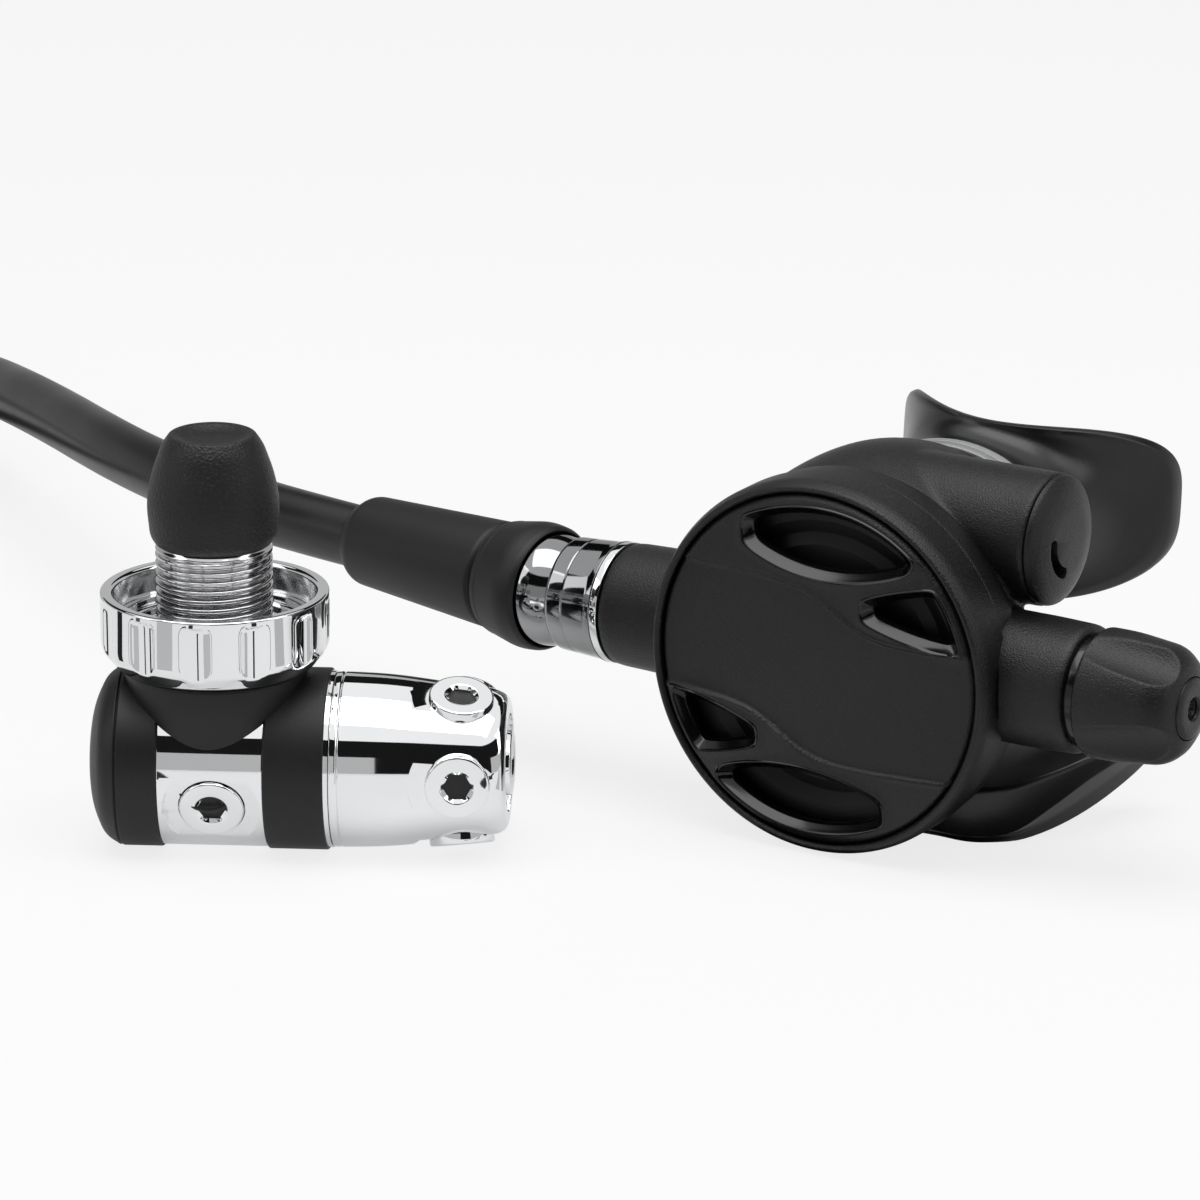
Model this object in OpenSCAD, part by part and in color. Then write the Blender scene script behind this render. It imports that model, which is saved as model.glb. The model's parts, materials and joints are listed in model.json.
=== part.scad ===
// Scuba regulator set: a DIN first stage with a swivel turret, a second stage with
// knob and flow control, and the intermediate-pressure hose that ends at the second stage.
// Row frame: +X along the second stage's valve barrel towards its knob, +Y behind its
// cover, +Z up. The origin is on the ground at the foot of the DIN axis.

/* [First stage body] */
// Outer radius of the chromed body
body_r = 17.5; // [16:0.1:18.2]
// Height of the body's long axis over the ground
axis_h = 17.3; // [16:0.1:17.3]
// Left end of the chromed section, from the DIN axis
body_left = 11.3; // [10.5:0.1:13]
// Right end of the chromed section, from the DIN axis
body_right = 10.5; // [10:0.1:12]
// Turn of the body's long axis away from +X
body_yaw = 28; // [15:1:40]
// Outer radius of the rubber boot and band
boot_r = 17.9; // [17.6:0.1:18.6]
// Wall of the rubber boot and band
boot_wall = 1.3; // [1:0.1:2]
// Length of the end boot, with its dome
boot_len = 13.1; // [11:0.1:15]
// Length of the rubber band over the water ports
band_len = 12.1; // [9:0.1:14]
// Radius of the piston's stem bore
stem_bore_r = 3.05; // [2.5:0.05:3.5]
// Radius of the piston's head bore
head_bore_r = 11.9; // [11.5:0.1:12.3]

/* [Turret] */
// Radius of the turret at its large end
turret_r = 17.3; // [16.8:0.05:17.3]
// Radius of the turret at its free end
turret_end_r = 14.2; // [13.5:0.1:15]
// Length of the turret
turret_len = 34.1; // [32:0.1:38]
// Distance of the radial ports from the turret's large end
port_x = 23.5; // [21:0.1:25]
// Number of radial low-pressure ports
port_count = 5; // [3:1:5]
// Radius of a port plug's head
plug_r = 6.35; // [5.8:0.05:6.6]
// Thickness of a port plug's head
plug_head = 2.2; // [1.8:0.1:2.4]
// Width across flats of a port plug's hex socket
plug_hex = 5; // [4:0.5:6]

/* [DIN connection] */
// Outer radius of the G5/8 thread
thread_r = 11.45; // [11.2:0.05:11.7]
// Pitch of the G5/8 thread
thread_pitch = 1.814; // [1.7:0.002:1.9]
// Outer radius of the handwheel
wheel_r = 22.4; // [21:0.1:24]
// Height of the handwheel's lower face
wheel_z = 37.8; // [37.8:0.1:38.4]
// Height of the handwheel
wheel_h = 14.8; // [13.5:0.1:15.5]
// Number of grips round the handwheel
wheel_grips = 12; // [8:1:14]
// Height of the end of the thread
thread_top = 62.3; // [60:0.1:63.5]
// Height of the protective cap
cap_h = 24.2; // [20:0.1:26]
// Largest radius of the protective cap
cap_r = 13; // [12.8:0.1:14]

/* [Hose] */
// Outer radius of the hose
hose_r = 6.5; // [6:0.1:6.5]
// Radius of the first loop of the coil
coil_r = 58; // [56:1:66]
// Number of loops in the coil
coil_loops = 1.2; // [1.1:0.01:1.3]
// Step between one loop and the next
coil_pitch = 14; // [13.6:0.1:16]
// Length of the protector sleeve
sleeve_len = 39.4; // [34:0.1:42]
// Radius of the protector sleeve at the swivel
sleeve_r = 11.05; // [10.5:0.05:11.5]
// Radius of the protector sleeve at the hose
sleeve_tip_r = 9.3; // [8.8:0.1:10]
// Largest radius of the swivel collar
collar_r = 13.1; // [12.8:0.1:13.6]
// Radius of the swivel ball
ball_r = 11.5; // [11:0.05:11.6]

/* [Second stage] */
// Place of the cover's centre along X
face_x = 104; // [100:1:110]
// Place of the cover's centre along Y
face_y = 55; // [50:1:60]
// Outer radius of the cover ring
ring_r = 37.9; // [37.5:0.1:39]
// Depth of the cover ring
ring_depth = 9.4; // [8.5:0.1:10.2]
// Distance from the ring's outer edge to the purge cover's edge
cover_inset = 2.7; // [2.6:0.1:3.1]
// Crown of the purge cover over its edge
face_crown = 3.4; // [2.5:0.1:4.5]
// Travel of the purge cover when it is pressed
purge_travel = 2.2; // [1.5:0.1:2.4]
// Depth of the valve barrel's axis behind the cover
barrel_d = 17; // [16.6:0.1:17.6]
// Outer radius of the case round the valve barrel
housing_r = 13; // [12.4:0.1:13.3]
// Distance from the cover's centre to the knob end of the case
housing_right = 51.4; // [49:0.1:54]
// Distance from the cover's centre to the inlet end of the case
housing_left = 53.6; // [52:0.1:56]
// Outer radius of the valve barrel
barrel_r = 7.6; // [7.2:0.1:7.8]
// Inner radius of the valve barrel
barrel_bore_r = 5.6; // [5.4:0.05:5.8]
// Largest radius of the knob
knob_r = 12.8; // [12:0.1:13]
// Length of the knob
knob_len = 21.1; // [19:0.1:24]
// Number of grip flutes round the knob
knob_flutes = 4; // [3:1:6]
// Outer radius of the flow-control housing
flow_r = 13.2; // [12.5:0.1:13.4]
// Distance from the cover's centre to the end of the flow-control housing
flow_end = 37; // [34:0.1:38]
// Half width of the mouthpiece's lip shield
shield_half = 29; // [27:0.5:29.5]
// Height of the mouthpiece's lip shield
shield_h = 34.5; // [31:0.5:37]
// Height of the mouthpiece's centre over the cover's centre
mouth_h = 17; // [15:0.5:18]
// Half width of the mouthpiece's neck
neck_a = 21; // [19:0.5:23]
// Half height of the mouthpiece's neck
neck_b = 15.5; // [14:0.5:16.5]
// Half span of the exhaust deflector's wings
wing_half = 44.5; // [40:0.5:47]

/* [Hidden] */
$fn = 64;

// Radial clearances: a running fit, and the open gap between moving surfaces
fit = 0.05;
gap = 0.35;
// Half size of the blocks that cut away what lies past a plane
reach = 60;

// --- First stage: places along its own long axis, +X towards the turret ---
boot_seat_r = boot_r - boot_wall;
boot_end = body_left + boot_len;
body_end = boot_end - 5;
band_end = body_right + band_len;
cap_flange = 0.9;
turret_x = band_end + cap_flange + fit;
chamber_r = 13;
chamber_x = 12.6;
head_len = 3.4;
head_x = band_end + 3.6;
seat_x = -2;
piston_stroke = 1;
knife_gap = piston_stroke + 0.1;
high_chamber_r = 6;
retainer_r = 7.4;
stem_groove_x = chamber_x - 1.5;
head_groove = 1.4;
high_wire = 0.4;
neck_len = 9.2;
turret_neck_r = 14.6;
neck_end = turret_x + neck_len;
turret_wall = 2;
turret_wall_x = neck_end + 0.3 + turret_wall;
stub_r = 4.4;
stub_len = turret_wall + 1.9;
low_chamber_r = 8.6;
low_shank_r = 4.76;
high_shank_r = 5.5;
shank_len = 5;
high_face = 17.9;
high_boss_r = 9.5;
spot_r = 10.3;
spot_tilt = 6;
port_face = 16.3;
port_step = 360 / 5;
ring_wire = 0.9;

// --- DIN connection: heights over the ground ---
boot_top = wheel_z - 0.5;
saddle_r = wheel_r - 4.4;
saddle_root_r = body_r - 1.9;
saddle_root_z = axis_h + 6.7;
boss_r = 10.3;
boss_top = 35;
stud_r = 6.5;
stud_flange_r = 9.4;
stud_flange_z = thread_top + 0.4;
stud_top = stud_flange_z + 7;
stud_root_z = 25.5;
sleeve_bore = stud_r + fit;
cup_floor = wheel_z + 6;
cup_r = 19.9;
rim_wall = wheel_r - cup_r;
chamfer = 3;
cap_bottom = thread_top + 0.1;
cap_bore_r = stud_flange_r + fit;

// --- Hose: the free stretch's points, from the sleeve to the coil ---
bend_yaw = -9.9;
swivel_t = 71.9;
ball_neck = 13.6;
barrel_y = face_y + barrel_d;
barrel_z = ring_r;
ball = [face_x - swivel_t, barrel_y, barrel_z];
sleeve_near = 12.6;
sleeve_far = sleeve_near + sleeve_len;
nipple_r = 6;
nipple_end = sleeve_near + 12;
hose_axis = [cos(bend_yaw), sin(bend_yaw), 0];
hose_start = ball - nipple_end * hose_axis;
sleeve_mouth = ball - sleeve_far * hose_axis;
hose_points = [
    [-33, 83.3, 37.9],
    [-47, 86.6, 37.7],
    [-61, 91.4, 37.3],
    [-75, 97.4, 36.8],
    [-89, 104.6, 36.1],
    [-103, 113.0, 35.2],
    [-117, 122.4, 34.1],
    [-131, 132.4, 32.8],
    [-145, 142.6, 31.2],
    [-159, 152.9, 29.3],
    [-173, 163.2, 27.1],
    [-187, 172.6, 24.8],
    [-201, 180.4, 22.5],
    [-215, 186.6, 20.3],
    [-229, 191.4, 18.2]
];
hose_end = hose_points[len(hose_points) - 1];
end_step = hose_end - hose_points[len(hose_points) - 2];
end_heading = atan2(end_step[1], end_step[0]);
end_fall = -end_step[2] / norm([end_step[0], end_step[1]]);
coil_drop_len = 160;
end_lift = 1.2;
ferrule_r = 7.5;
fitting_neck_r = 3.7;
ring_steps = 24;

// --- Second stage: own frame x to the knob, y behind the cover, z up ---
face_z = ring_r;
face_r = ring_r - cover_inset;
collar_bore_r = face_r + 0.2;
rim_back = 17;
rim_r = ring_r - 0.6;
collar_start = 5.2;
case_wall = 2.4;
dome_y = 46;
neck_y = 57;
flow_y = 28.4;
flow_z = rim_r - 12.3;
flow_bore_r = 10.4;
plate_y = 3.6;
diaphragm_y = 4.4;
bead_y = 6.4;
bead_r = face_r - 3;
fold_r = bead_r - 5.8;
slot_edge_r = face_r - 3.4;
slot_z = face_r - 8.6;
fin_slot_x = face_r - 10.7;
plate_r = 14;
lever_x = 14;
lever_y = 8.5;
lever_arm = 16;
foot_len = 6.8;
seat_t = -22;
knob_gap = 2.2;
screw_r = 4;
knob_x = housing_right + knob_gap;
valve_z = 8.4 - ring_r;
wing_z = 3.5 - ring_r;
wing_tip_z = wing_z + 7.4;
valve_y = 31;
valve_r = 13.5;
valve_stem_r = 1.2;
seat_plate = 2;
shield_y = 66;
shield_bow_r = 30;
shield_wall = 2.4;
shield_drop = 1.2;
shield_roll = 3;
strap_y = 50.6;
strap_w = 4.6;
throat_y = dome_y + 12;

// Places children in the first stage's own frame.
module on_first_stage() {
    rotate([0, 0, body_yaw]) translate([0, 0, axis_h]) children();
}

// Places children in the second stage's own frame.
module on_second_stage() {
    translate([face_x, face_y, face_z]) children();
}

// Places children on the hose's end axis, x pointing from the hose to the ball.
module on_hose_axis() {
    translate(ball) rotate([0, 0, bend_yaw]) children();
}

// Places children on the valve barrel's axis, in the second stage's own frame.
module on_barrel() {
    translate([0, barrel_d, 0]) children();
}

// A lathe shape along +X from points [x, radius].
module lathe_x(points) {
    rotate([90, 0, 90]) rotate_extrude($fn = 96)
        polygon([for (p = points) [p[1], p[0]]]);
}

// A lathe shape along +Y from points [y, radius].
module lathe_y(points) {
    rotate([-90, 0, 0]) rotate_extrude($fn = 128)
        polygon([for (p = points) [p[1], p[0]]]);
}

// A lathe shape along +Z from points [z, radius].
module lathe_z(points) {
    rotate_extrude($fn = 96) polygon([for (p = points) [p[1], p[0]]]);
}

// A solid rod along +X.
module rod_x(x0, x1, r) {
    translate([x0, 0, 0]) rotate([0, 90, 0]) cylinder(h = x1 - x0, r = r, $fn = 96);
}

// A solid rod along +Y.
module rod_y(y0, y1, r) {
    translate([0, y0, 0]) rotate([-90, 0, 0]) cylinder(h = y1 - y0, r = r, $fn = 96);
}

// An O-ring round the X axis.
module oring_x(x, r, wire) {
    translate([x, 0, 0]) rotate([0, 90, 0]) rotate_extrude($fn = 64)
        translate([r, 0]) circle(r = wire, $fn = 24);
}

// A hexagonal prism along +X with a width across flats.
module hex_x(x0, x1, across) {
    translate([x0, 0, 0]) rotate([0, 90, 0])
        cylinder(h = x1 - x0, r = across / sqrt(3), $fn = 6);
}

// An oval prism along +Y with half axes a and b.
module oval_y(y0, y1, a, b) {
    translate([0, y0, 0]) rotate([-90, 0, 0]) linear_extrude(y1 - y0)
        polygon([for (i = [0:47]) [a * cos(i * 7.5), b * sin(i * 7.5)]]);
}

// A port plug with its head's outer face at x = 0, threaded shank towards -X.
module plug(shank_r) {
    difference() {
        union() {
            lathe_x([[-plug_head, 0], [-plug_head, plug_r], [-0.5, plug_r],
                [0, plug_r - 0.5], [0, 0]]);
            rod_x(-plug_head - shank_len, -plug_head + 0.01, shank_r);
        }
        hex_x(-3.4, 1, plug_hex);
    }
}

// The plug's O-ring in the groove under its head.
module plug_ring(shank_r, wire) {
    oring_x(-plug_head - wire, shank_r + wire, wire - 0.02);
}

// Puts children on each turret port with +X pointing out of the port.
module at_ports() {
    for (i = [0:port_count - 1]) {
        rotate([90 - i * port_step, 0, 0])
            translate([turret_x + port_x, 0, 0]) rotate([0, spot_tilt, 0])
                translate([0, 0, port_face]) rotate([0, -90, 0]) children();
    }
    translate([turret_x + turret_len + 0.7, 0, 0]) children();
}

// Puts children on both high-pressure ports with +X pointing out of the port.
module at_high_ports() {
    for (side = [-90, 90]) rotate([0, 0, side]) translate([high_face + 0.6, 0, 0]) children();
}

// Cuts children flat where they would pass under the ground.
module above_ground() {
    difference() {
        children();
        translate([-reach, -reach, -axis_h - reach]) cube([2 * reach, 2 * reach, reach]);
    }
}

module first_stage_body() {
    color("gainsboro") on_first_stage() above_ground() difference() {
        union() {
            rod_x(-body_left, body_right, body_r);
            rod_x(-body_end, -body_left + 0.1, boot_seat_r);
            rod_x(body_right - 0.1, band_end, boot_seat_r);
            cylinder(h = boss_top - axis_h, r = boss_r, $fn = 96);
            for (side = [-90, 90]) rotate([0, 0, side]) rod_x(0, high_face, high_boss_r);
        }
        // High-pressure chamber, opened by the seat retainer
        rod_x(-body_end - 1, seat_x - 3, retainer_r);
        rod_x(seat_x - 4, 2.5, high_chamber_r);
        // Stem bore between the chambers
        rod_x(0, chamber_x + 1, stem_bore_r);
        rod_x(stem_groove_x - 0.7, stem_groove_x + 0.7, stem_bore_r + 1.4);
        // Spring chamber, wetted through the band
        rod_x(chamber_x, band_end + 1, chamber_r);
        // Gas way from the stud
        translate([0, 0, -1]) cylinder(h = 40, r = 2.2);
        translate([0, 0, stud_root_z - axis_h]) cylinder(h = 20, r = stud_r);
        at_high_ports() rod_x(-plug_head, 5, plug_r + 0.3);
        at_high_ports() rod_x(-plug_head - 2 * high_wire, 0, high_shank_r + 2 * high_wire);
        at_high_ports() rod_x(-plug_head - shank_len - 6, 1, high_shank_r - 1.2);
        at_high_ports() rod_x(-plug_head - shank_len - 0.5, 1, high_shank_r);
    }
}

module end_boot() {
    color([0.08, 0.08, 0.08]) on_first_stage() above_ground() difference() {
        lathe_x([[-body_left, 0], [-body_left, boot_r], [-boot_end + 4.2, boot_r],
            [-boot_end + 3.9, boot_r - 0.4], [-boot_end + 3.6, boot_r],
            [-boot_end + 2.4, boot_r - 0.4], [-boot_end + 1.1, boot_r - 1.6],
            [-boot_end + 0.4, boot_r - 3.4], [-boot_end, boot_r - 6], [-boot_end, 0]]);
        rod_x(-body_end, -body_left + 1, boot_seat_r);
        rod_x(-boot_end + 1.6, -body_end + 1, retainer_r + 1.6);
    }
}

module seat_retainer() {
    color("goldenrod") on_first_stage() difference() {
        union() {
            rod_x(-body_end, seat_x - 3, retainer_r);
            rod_x(-body_end - 2.2, -body_end, retainer_r + 1.4);
        }
        rod_x(-9, 0, 5);
        hex_x(-body_end - 3, -body_end + 2, 6);
    }
}

module piston_seat() {
    color("white") on_first_stage() rod_x(-9, seat_x, 5);
}

module piston() {
    color("silver") on_first_stage() difference() {
        union() {
            rod_x(seat_x + knife_gap, head_x + 0.1, stem_bore_r - fit);
            lathe_x([[head_x, 0], [head_x, head_bore_r - fit], [head_x + 0.8, head_bore_r - fit],
                [head_x + 0.8, head_bore_r - head_groove],
                [head_x + head_len - 0.8, head_bore_r - head_groove],
                [head_x + head_len - 0.8, head_bore_r - fit],
                [head_x + head_len, head_bore_r - fit], [head_x + head_len, 0]]);
        }
        rod_x(seat_x - 1, head_x + head_len + 1, 1.3);
    }
}

// An open coil along +X: one unbroken six-sided tube with flattened end turns.
module coil_x(x0, x1, r, wire, turns) {
    per_turn = 8;
    count = turns * per_turn;
    skin([for (i = [0:count]) let (a = i * 360 / per_turn,
            u = max(0, min(1, (i - per_turn / 2) / (count - per_turn))),
            x = x0 + wire + (x1 - x0 - 2 * wire) * u)
        [for (k = [0:5]) let (around = (k + 0.5) * 60, out = r + wire * cos(around))
            [x + wire * sin(around), out * cos(a), out * sin(a)]]]);
}

module piston_spring() {
    color("silver") on_first_stage()
        coil_x(chamber_x + 0.1, head_x - 0.1, 7.6, 1.2, 4);
}

module piston_oring() {
    color([0.05, 0.05, 0.05]) on_first_stage()
        oring_x(head_x + head_len / 2, head_bore_r - head_groove + 0.67, 0.65);
}

module stem_oring() {
    color([0.05, 0.05, 0.05]) on_first_stage() oring_x(stem_groove_x, stem_bore_r + 0.73, 0.65);
}

module ambient_band() {
    color([0.06, 0.06, 0.06]) on_first_stage() above_ground() difference() {
        rod_x(body_right, band_end, boot_r);
        rod_x(body_right - 1, band_end + 1, boot_seat_r);
    }
}

module piston_cap() {
    color("silver") on_first_stage() difference() {
        union() {
            rod_x(band_end, band_end + cap_flange, body_r - 0.1);
            rod_x(band_end - 5, band_end + 0.1, chamber_r);
            rod_x(band_end, neck_end, turret_neck_r);
            rod_x(neck_end - 0.1, neck_end + stub_len, stub_r);
        }
        rod_x(band_end - 6, neck_end - 3, head_bore_r);
        rod_x(0, 80, 2.5);
    }
}

module turret() {
    color("gainsboro") on_first_stage() difference() {
        lathe_x([[turret_x, 0], [turret_x, turret_r - 0.4], [turret_x + 0.4, turret_r],
            [turret_x + 11, turret_r - 0.3], [turret_x + turret_len - 3, turret_end_r + 0.3],
            [turret_x + turret_len - 1, turret_end_r - 0.9],
            [turret_x + turret_len, turret_end_r - 3], [turret_x + turret_len, 0]]);
        rod_x(turret_x - 1, neck_end + 0.3, turret_neck_r + fit);
        rod_x(turret_x, turret_wall_x + 0.2, stub_r + fit);
        rod_x(turret_wall_x, turret_x + turret_len - 6, low_chamber_r);
        rod_x(turret_x + turret_len - 10, turret_x + turret_len + 2, low_shank_r);
        at_ports() rod_x(-plug_head, 6, spot_r);
        at_ports() rod_x(-plug_head - 9, 6, low_shank_r);
        at_ports() rod_x(-plug_head - 2 * ring_wire, 0, low_shank_r + 2 * ring_wire);
    }
}

module turret_clip() {
    color("silver") on_first_stage() difference() {
        rod_x(turret_wall_x + 0.3, turret_wall_x + 1.3, stub_r + 1.8);
        rod_x(turret_wall_x, turret_wall_x + 2, stub_r);
    }
}

module low_port_plugs() {
    color("silver") on_first_stage() at_ports() plug(low_shank_r);
}

module low_plug_orings() {
    color([0.05, 0.05, 0.05]) on_first_stage() at_ports() plug_ring(low_shank_r, ring_wire);
}

module high_port_plugs() {
    color("silver") on_first_stage() at_high_ports() plug(high_shank_r);
}

module high_plug_orings() {
    color([0.05, 0.05, 0.05]) on_first_stage() at_high_ports() plug_ring(high_shank_r, high_wire);
}

module din_boot() {
    color([0.07, 0.07, 0.07]) difference() {
        lathe_z([[axis_h, 0], [axis_h, saddle_root_r], [saddle_root_z, saddle_root_r + 0.6],
            [boot_top - 3, saddle_r], [boot_top, saddle_r], [boot_top, 0]]);
        cylinder(h = boss_top + fit, r = boss_r + fit, $fn = 96);
        for (side = [-90, 90]) on_first_stage() rotate([0, 0, side])
            rod_x(0, high_face + 1, high_boss_r + fit);
        cylinder(h = boot_top + 1, r = stud_r);
        on_first_stage() rod_x(-body_left - 0.1, body_right + 0.1, body_r);
        on_first_stage() rod_x(-reach, -body_left, boot_r);
        on_first_stage() rod_x(body_right, reach, boot_r);
    }
}

module din_stud() {
    color("silver") difference() {
        union() {
            translate([0, 0, stud_root_z])
                cylinder(h = stud_flange_z - stud_root_z + 0.1, r = stud_r, $fn = 96);
            lathe_z([[stud_flange_z, 0], [stud_flange_z, stud_flange_r],
                [stud_top - 0.4, stud_flange_r], [stud_top, stud_flange_r - 0.4], [stud_top, 0]]);
        }
        translate([0, 0, stud_root_z - 1]) cylinder(h = stud_top - stud_root_z + 2, r = 2.5);
        translate([0, 0, stud_top - 12]) cylinder(h = 20, r = 4);
        translate([0, 0, stud_top - 1.6]) difference() {
            cylinder(h = 4, r = 8.2);
            cylinder(h = 4, r = 5.4);
        }
    }
}

module din_filter() {
    color("darkgoldenrod") lathe_z([[stud_top - 12, 0], [stud_top - 12, 4],
        [stud_top - 10, 4], [stud_top - 1, 2.4], [stud_top - 1, 0]]);
}

module din_oring() {
    color([0.05, 0.05, 0.05]) translate([0, 0, stud_top - 0.72]) rotate_extrude($fn = 64)
        translate([6.8, 0]) circle(r = 0.88, $fn = 24);
}

module din_thread() {
    turns = floor((thread_top - cup_floor - 4) / thread_pitch);
    color("silver") difference() {
        union() {
            translate([0, 0, wheel_z + 1]) cylinder(h = 8, r = thread_r + 2.4, $fn = 96);
            translate([0, 0, wheel_z + 8]) cylinder(h = thread_top - wheel_z - 9, r = thread_r, $fn = 96);
            lathe_z([[thread_top - 1, 0], [thread_top - 1, thread_r - 1.2],
                [thread_top, thread_r - 1.9], [thread_top, 0]]);
        }
        for (i = [0:turns - 1]) translate([0, 0, thread_top - 2.6 - i * thread_pitch])
            rotate_extrude($fn = 96) polygon([[thread_r - 1.1, -0.1], [thread_r - 1.1, 0.1],
                [thread_r + 0.5, 1.02], [thread_r + 0.5, -1.02]]);
        cylinder(h = thread_top + 1, r = sleeve_bore, $fn = 96);
    }
}

module din_handwheel() {
    color("gainsboro") difference() {
        lathe_z([[wheel_z, 0], [wheel_z, wheel_r - chamfer], [wheel_z + 4, wheel_r - 0.5],
            [wheel_z + 5, wheel_r], [wheel_z + wheel_h - 0.6, wheel_r],
            [wheel_z + wheel_h, wheel_r - 0.6], [wheel_z + wheel_h, 0]]);
        for (i = [0:wheel_grips - 1]) rotate([0, 0, i * 360 / wheel_grips])
            translate([wheel_r + 7.2, 0, wheel_z - 1]) cylinder(h = wheel_h - 1.6, r = 8, $fn = 64);
        translate([0, 0, cup_floor + 3]) cylinder(h = 20, r = cup_r, $fn = 96);
        translate([0, 0, cup_floor + 1.4]) cylinder(h = 20, r = cup_r - 1.6, $fn = 96);
        translate([0, 0, cup_floor]) cylinder(h = 20, r = cup_r - 3.4, $fn = 96);
        translate([0, 0, wheel_z + 1]) cylinder(h = 20, r = thread_r + 2.4, $fn = 96);
        translate([0, 0, wheel_z - 1]) cylinder(h = 20, r = sleeve_bore, $fn = 96);
    }
}

module din_cap() {
    color([0.09, 0.09, 0.09]) difference() {
        lathe_z([[cap_bottom, 0], [cap_bottom, cap_r - 1.4], [cap_bottom + 1.4, cap_r - 0.7],
            [cap_bottom + 7.6, cap_r], [cap_bottom + 8.4, cap_r], [cap_bottom + 13, cap_r - 0.9],
            [cap_bottom + cap_h - 3, cap_r - 2.9], [cap_bottom + cap_h - 1, cap_r - 4],
            [cap_bottom + cap_h, cap_r - 5.6], [cap_bottom + cap_h - 0.5, 0]]);
        translate([0, 0, cap_bottom - 1]) cylinder(h = cap_h - 6, r = cap_bore_r, $fn = 96);
    }
}

// --- Hose ---

// A unit vector along v.
function unit(v) = v / norm(v);

// The direction of travel at point i of a path.
function heading(path, i) = unit(path[min(i + 1, len(path) - 1)] - path[max(i - 1, 0)]);

// A ring of points round a path's point, square to its direction.
function ring_at(path, i, r, sides) = let (t = heading(path, i),
        ref = abs(t[2]) < 0.9 ? [0, 0, 1] : [0, 1, 0], s = unit(cross(t, ref)), n = cross(s, t))
    [for (k = [0:sides - 1]) let (a = (k + 0.5) * 360 / sides) path[i] + r * (cos(a) * s + sin(a) * n)];

// A closed skin over rings that each hold the same number of points.
module skin(rings) {
    sides = len(rings[0]);
    walls = [for (i = [0:len(rings) - 2]) for (k = [0:sides - 1])
        let (a = i * sides + k, b = i * sides + (k + 1) % sides) each
            [[a, a + sides, b + sides], [a, b + sides, b]]];
    first = [for (k = [1:sides - 2]) [0, k, k + 1]];
    lids = [for (k = [1:sides - 2]) let (o = (len(rings) - 1) * sides) [o, o + k + 1, o + k]];
    polyhedron([for (ring = rings) each ring], concat(walls, first, lids), convexity = 8);
}

// A round tube swept along a path.
module tube(path, r, sides) {
    skin([for (i = [0:len(path) - 1]) ring_at(path, i, r, sides)]);
}

coil_straight = 2 * hose_r;
coil_start = hose_end + coil_straight * [cos(end_heading), sin(end_heading), -end_fall];
coil_centre = coil_start + coil_r * [cos(end_heading + 90), sin(end_heading + 90), 0];
coil_turn = coil_loops * 360;

// A point of the coil's centreline, a degrees round from its start.
function coil_point(a) = let (r = coil_r + coil_pitch * a / 360, s = coil_r * a * PI / 180,
        drop = max(0, 1 - s / coil_drop_len), lift = max(0, 1 - (coil_turn - a) / 30))
    [coil_centre[0] + r * cos(end_heading - 90 + a), coil_centre[1] + r * sin(end_heading - 90 + a),
        hose_r + (coil_start[2] - hose_r) * drop * drop + end_lift * lift];

coil_last = coil_point(coil_turn);
last_heading = end_heading + coil_turn;
coil_tail = coil_last + coil_straight * [cos(last_heading), sin(last_heading), 0];
coil_steps = round(coil_loops * ring_steps);
coil_path = concat([hose_end],
    [for (i = [0:coil_steps]) coil_point(i * coil_turn / coil_steps)], [coil_tail]);

// The least room between turns of the coil, measured over the points a turn apart.
whole_path = concat(hose_points, coil_path);
coil_gap = min([for (i = [1:len(whole_path) - 1]) for (j = [i + 5:1:len(whole_path) - 1])
    norm(whole_path[i] - whole_path[j])]) - 2 * hose_r;
echo("least gap between the coil's turns, mm", coil_gap);

module hose() {
    color([0.12, 0.12, 0.12]) tube(concat([hose_start, sleeve_mouth], hose_points), hose_r, 10);
}

module hose_coil() {
    color([0.12, 0.12, 0.12]) tube(coil_path, hose_r, 8);
}

// Places children at the coil's far end, +X pointing away from the hose.
module on_hose_tail() {
    translate(coil_tail) rotate([0, 0, last_heading]) children();
}

module hose_fitting() {
    color("silver") on_hose_tail() difference() {
        union() {
            lathe_x([[0, 0], [0, ferrule_r - 0.5], [0.5, ferrule_r], [5, ferrule_r],
                [5.4, ferrule_r - 0.5], [6.6, ferrule_r - 0.5], [7, ferrule_r], [12, ferrule_r],
                [12.4, ferrule_r - 0.5], [13.6, ferrule_r - 0.5], [14, ferrule_r],
                [19, ferrule_r], [20, 6.2], [20, 0]]);
            rotate([30, 0, 0]) hex_x(20, 27, 14.3);
            rod_x(26.9, 29, 6.6);
            rod_x(28.9, 31.1, fitting_neck_r);
            rod_x(31, 37.5, low_shank_r);
        }
        rod_x(10, 40, 2.4);
    }
}

module fitting_oring() {
    color([0.05, 0.05, 0.05]) on_hose_tail()
        oring_x(29 + ring_wire, fitting_neck_r + ring_wire, ring_wire - 0.02);
}

module hose_sleeve() {
    color([0.1, 0.1, 0.1]) on_hose_axis() difference() {
        lathe_x([[-sleeve_far, 0], [-sleeve_far, hose_r + 0.9], [-sleeve_far + 3, sleeve_tip_r],
            [-sleeve_near - 1.4, sleeve_r], [-sleeve_near - 0.4, sleeve_r - 0.5],
            [-sleeve_near, sleeve_r - 0.7], [-sleeve_near, 0]]);
        rod_x(-sleeve_far - 1, -sleeve_near + 1, hose_r + fit);
    }
}

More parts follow.
